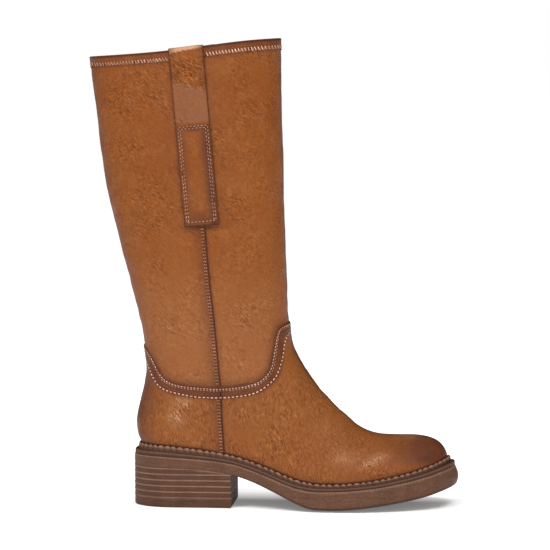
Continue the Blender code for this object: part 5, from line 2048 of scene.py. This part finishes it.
class BootRubber(bpy.types.PropertyGroup):
    """Colours and sizes of the sole, the welt and the heel"""

    base: colour_property("Edge brown", "Main colour of the sole's edge", (0.105, 0.046, 0.0245))
    # The edge shade also paints the shade in the welt's recesses and round the sole's lower edge.
    dark: colour_property("Edge shade", "Colour in the streaks and hollows", (0.045, 0.019, 0.012))
    light: colour_property("Edge light", "Colour of crests, ridges and upper edge", (0.25, 0.142, 0.088))
    notch_pitch: length_property("Notches", "Step of the upper edge's notches", 2.7 * MM, 0.001, 0.01)
    tread_pitch: length_property("Tread", "Step of the tread's cross grooves", 7.0 * MM, 0.003, 0.02)
    lobe_pitch: length_property("Welt lobes", "Step of the welt's rope-like lobes", 5.4 * MM, 0.002, 0.02)
    scallop_depth: length_property("Scallops", "Depth of the waves on the welt", 1.7 * MM, 0.0, 0.003)
    layer_pitch: length_property("Heel layers", "Thickness of one layer of the heel", 4.85 * MM, 0.002, 0.01)


class BootStage(bpy.types.PropertyGroup):
    """Floor, lights and camera"""

    floor: colour_property("Floor", "Colour of the floor", (0.8, 0.8, 0.8))
    glow: share_property("Floor glow", "Light of the far floor's own", 0.75, 2.0)
    azimuth: angle_property("Azimuth", "Way round of the camera from the outer side", 5)
    elevation: angle_property("Elevation", "Height of the camera as an angle", 4.5)
    distance: length_property("Distance", "From the camera to the point it looks at", 2.4, 0.5, 10.0)
    lens: number_property("Lens", "Focal length", 190.4, min=20.0, max=400.0, subtype="DISTANCE_CAMERA")
    key: power_property("Key light", "Strength of the main light", 30.0)
    fill: power_property("Fill light", "Strength of the front light", 9.0)
    top: power_property("Top light", "Strength of the light overhead", 24.0)
    sky: share_property("Sky", "Strength of the even light all round", 0.5, 5.0)


SETTINGS = (
    ("boot_leather", BootLeather),
    ("boot_stitching", BootStitching),
    ("boot_rubber", BootRubber),
    ("boot_stage", BootStage),
)


# ---------------------------------------------------------------- operators
GROUPS = {
    "leather_tone": make_tone_group,
    "leather_grain": make_grain_group,
    "brushed_edge": make_brush_group,
}


def shared_material(name, make, settings):
    """The named material, made the first time it is asked for, and the shader groups before it."""
    for group, make_group in GROUPS.items():
        if group not in bpy.data.node_groups:
            make_group()
    return bpy.data.materials.get(name) or make(name, settings)


class BOOT_OT_upper(bpy.types.Operator):
    """Build the foot part's leather"""

    bl_idname = "boot.upper"
    bl_label = "Foot Leather"

    def execute(self, context):
        look = context.scene.boot_leather
        build_upper_leather(look, shared_material("boot_leather", leather_material, look))
        return {"FINISHED"}


class BOOT_OT_shaft(bpy.types.Operator):
    """Build the leg's leather"""

    bl_idname = "boot.shaft"
    bl_label = "Leg Leather"

    def execute(self, context):
        look = context.scene.boot_leather
        build_shaft_leather(look, shared_material("boot_leather", leather_material, look))
        return {"FINISHED"}


class BOOT_OT_lining(bpy.types.Operator):
    """Build the lining"""

    bl_idname = "boot.lining"
    bl_label = "Lining"

    def execute(self, context):
        build_lining(shared_material("lining_suede", lining_material, context.scene.boot_leather))
        return {"FINISHED"}


class BOOT_OT_straps(bpy.types.Operator):
    """Build the two pull straps"""

    bl_idname = "boot.straps"
    bl_label = "Pull Straps"

    def execute(self, context):
        material = shared_material("strap_leather", strap_material, context.scene.boot_leather)
        build_pull_strap(material, "strap_outer", "pull_strap_outer", True)
        build_pull_strap(material, "strap_inner", "pull_strap_inner", False)
        return {"FINISHED"}


class BOOT_OT_stitches(bpy.types.Operator):
    """Sew the yoke, the side seams, the collar's hem and the straps"""

    bl_idname = "boot.stitches"
    bl_label = "Stitching"

    def execute(self, context):
        look, stitching = context.scene.boot_leather, context.scene.boot_stitching
        material = shared_material("waxed_thread", thread_material, stitching)
        build_yoke_stitches(look, stitching, material)
        build_seam_stitches(look, stitching, material)
        build_collar_stitches(look, stitching, material)
        build_strap_stitches(stitching, material)
        return {"FINISHED"}


class BOOT_OT_welt(bpy.types.Operator):
    """Build the welt strip"""

    bl_idname = "boot.welt"
    bl_label = "Welt"

    def execute(self, context):
        rubber = context.scene.boot_rubber
        build_welt_strip(rubber, shared_material("welt_cord", edge_material, rubber))
        return {"FINISHED"}


class BOOT_OT_sole(bpy.types.Operator):
    """Build the sole unit"""

    bl_idname = "boot.sole"
    bl_label = "Sole"

    def execute(self, context):
        rubber = context.scene.boot_rubber
        build_outsole(rubber, shared_material("sole_edge", edge_material, rubber))
        return {"FINISHED"}


class BOOT_OT_heel(bpy.types.Operator):
    """Build the stacked heel and its bottom layer"""

    bl_idname = "boot.heel"
    bl_label = "Heel"

    def execute(self, context):
        rubber = context.scene.boot_rubber
        material = shared_material("stacked_layers", edge_material, rubber)
        build_heel_block(rubber, material)
        build_heel_bottom(material)
        return {"FINISHED"}


class BOOT_OT_sock(bpy.types.Operator):
    """Build the footbed"""

    bl_idname = "boot.sock"
    bl_label = "Footbed"

    def execute(self, context):
        build_sock(shared_material("footbed_board", footbed_material, context.scene.boot_leather))
        return {"FINISHED"}


def aim(thing, place, target):
    """Puts a light or a camera at a place, turned to look at a target."""
    thing.location = place
    away = np.array(place) - np.array(target)
    flat = math.hypot(away[0], away[1])
    thing.rotation_euler = (math.atan2(flat, away[2]), 0, math.atan2(away[0], -away[1]))
    bpy.context.scene.collection.objects.link(thing)


FLOOR_REACH = 40             # metres from the middle of the floor to its edges
DIM_GLOW = 0.22              # share of the floor's own light left close to the boot
# Where the floor's own light comes back: the axis and, in metres along it, where it starts and is full.
GLOW_EDGES = (("X", -0.034, -0.048), ("X", 0.2, 0.25), ("Y", -0.047, -0.06), ("Y", 0.0, 0.062))
LIGHTS = (
    ("key", (0.8, 0.7), (-0.7, -1.2, 1.95)),
    ("fill", (1.4, 1.4), (0.5, -2.2, 0.5)),
    ("top", (0.8, 0.7), (0.75, -1.0, 1.95)),
)
LIT_POINT = (0.07, 0.0, 0.18)
SEEN_POINT = (0.075, 0.0, 0.19)


def build_floor(settings):
    """Floor: a plane with a light of its own, dimmed in a soft-edged patch where the boot shades it."""
    side = np.array((-FLOOR_REACH, FLOOR_REACH))
    x, y = np.meshgrid(side, side)
    ground = new_piece("floor", np.stack([x, y, 0 * x], -1), grid_quads(2, 2, close_columns=False))
    material, tree = new_material("pale_floor")
    place = parts_of(tree, object_place(tree))
    glow = DIM_GLOW
    for axis, low, high in GLOW_EDGES:
        glow = calc(tree, "MAXIMUM", remap(tree, place[axis], low, high), glow)
    inputs = {"Base Color": rgba(settings.floor), "Roughness": 0.9, "Specular IOR Level": 0.0}
    inputs |= {"Emission Color": grey(tree, glow), "Emission Strength": settings.glow}
    feed(tree, tree.nodes["Principled BSDF"], inputs)
    ground.data.materials.append(material)


def build_world(settings):
    """Even light all round, stronger from the outer side, seen as white by the camera and faintly in
    reflections."""
    world = bpy.data.worlds.new("even_light")
    world.use_nodes = True
    tree = world.node_tree
    tree.nodes.clear()
    path = add_node(tree, "ShaderNodeLightPath").outputs
    way_out = parts_of(tree, object_place(tree))["Y"]
    soft = times(tree, remap(tree, way_out, 0.5, -0.5, 0.16, 1.2), settings.sky)
    gloss = remap(tree, way_out, 0.2, -0.7, 0.02, 0.3)
    mixed = None
    for strength, ray in ((soft, None), (gloss, "Is Glossy Ray"), (1.0, "Is Camera Ray")):
        inputs = {"Color": (1, 1, 1, 1), "Strength": strength}
        light = add_node(tree, "ShaderNodeBackground", inputs).outputs[0]
        if ray:
            light = add_node(tree, "ShaderNodeMixShader", {0: path[ray], 1: mixed, 2: light}).outputs[0]
        mixed = light
    add_node(tree, "ShaderNodeOutputWorld", {"Surface": mixed})
    bpy.context.scene.world = world


def add_area_light(name, power, size, place):
    """A rectangular light that shines on the boot."""
    light = bpy.data.lights.new(name, "AREA")
    light.shape = "RECTANGLE"
    light.size, light.size_y = size
    light.energy = power
    aim(bpy.data.objects.new(name, light), place, LIT_POINT)


def build_camera(settings):
    """Camera with a long lens, a way round and up from the point it looks at."""
    lens = bpy.data.cameras.new("camera")
    lens.lens = settings.lens
    lens.sensor_width = 36.0
    lens.clip_start, lens.clip_end = 0.05, 60.0
    camera = bpy.data.objects.new("camera", lens)
    level, way = settings.elevation, settings.azimuth
    back = np.array((math.sin(way) * math.cos(level), -math.cos(way) * math.cos(level), math.sin(level)))
    aim(camera, tuple(np.array(SEEN_POINT) + settings.distance * back), SEEN_POINT)
    bpy.context.scene.camera = camera


class BOOT_OT_stage(bpy.types.Operator):
    """Set up the floor, the lights and the camera"""

    bl_idname = "boot.stage"
    bl_label = "Stage"

    def execute(self, context):
        settings = context.scene.boot_stage
        build_floor(settings)
        build_world(settings)
        for key, size, place in LIGHTS:
            add_area_light(key + "_light", getattr(settings, key), size, place)
        build_camera(settings)
        context.scene.view_settings.view_transform = "Standard"
        return {"FINISHED"}


OPERATORS = (
    BOOT_OT_upper,
    BOOT_OT_shaft,
    BOOT_OT_lining,
    BOOT_OT_straps,
    BOOT_OT_stitches,
    BOOT_OT_welt,
    BOOT_OT_sole,
    BOOT_OT_heel,
    BOOT_OT_sock,
    BOOT_OT_stage,
)


class BOOT_PT_panel(bpy.types.Panel):
    """Settings and operators of the boot"""

    bl_idname = "BOOT_PT_panel"
    bl_label = "Motorcycle Boot"
    bl_space_type = "VIEW_3D"
    bl_region_type = "UI"
    bl_category = "Boot"

    def draw(self, context):
        layout = self.layout
        for key, group in SETTINGS:
            box = layout.box()
            box.label(text=group.__doc__)
            settings = getattr(context.scene, key)
            for field in group.__annotations__:
                box.prop(settings, field)
        for operator in OPERATORS:
            layout.operator(operator.bl_idname)


def register():
    for key, group in SETTINGS:
        bpy.utils.register_class(group)
        setattr(bpy.types.Scene, key, bpy.props.PointerProperty(type=group))
    for operator in OPERATORS:
        bpy.utils.register_class(operator)
    bpy.utils.register_class(BOOT_PT_panel)


def unregister():
    bpy.utils.unregister_class(BOOT_PT_panel)
    for operator in reversed(OPERATORS):
        bpy.utils.unregister_class(operator)
    for key, group in reversed(SETTINGS):
        delattr(bpy.types.Scene, key)
        bpy.utils.unregister_class(group)


def main():
    """Registers the classes and builds every piece in order."""
    register()
    bpy.ops.boot.upper()
    bpy.ops.boot.shaft()
    bpy.ops.boot.lining()
    bpy.ops.boot.straps()
    bpy.ops.boot.stitches()
    bpy.ops.boot.welt()
    bpy.ops.boot.sole()
    bpy.ops.boot.heel()
    bpy.ops.boot.sock()
    bpy.ops.boot.stage()


if __name__ == "__main__":
    main()
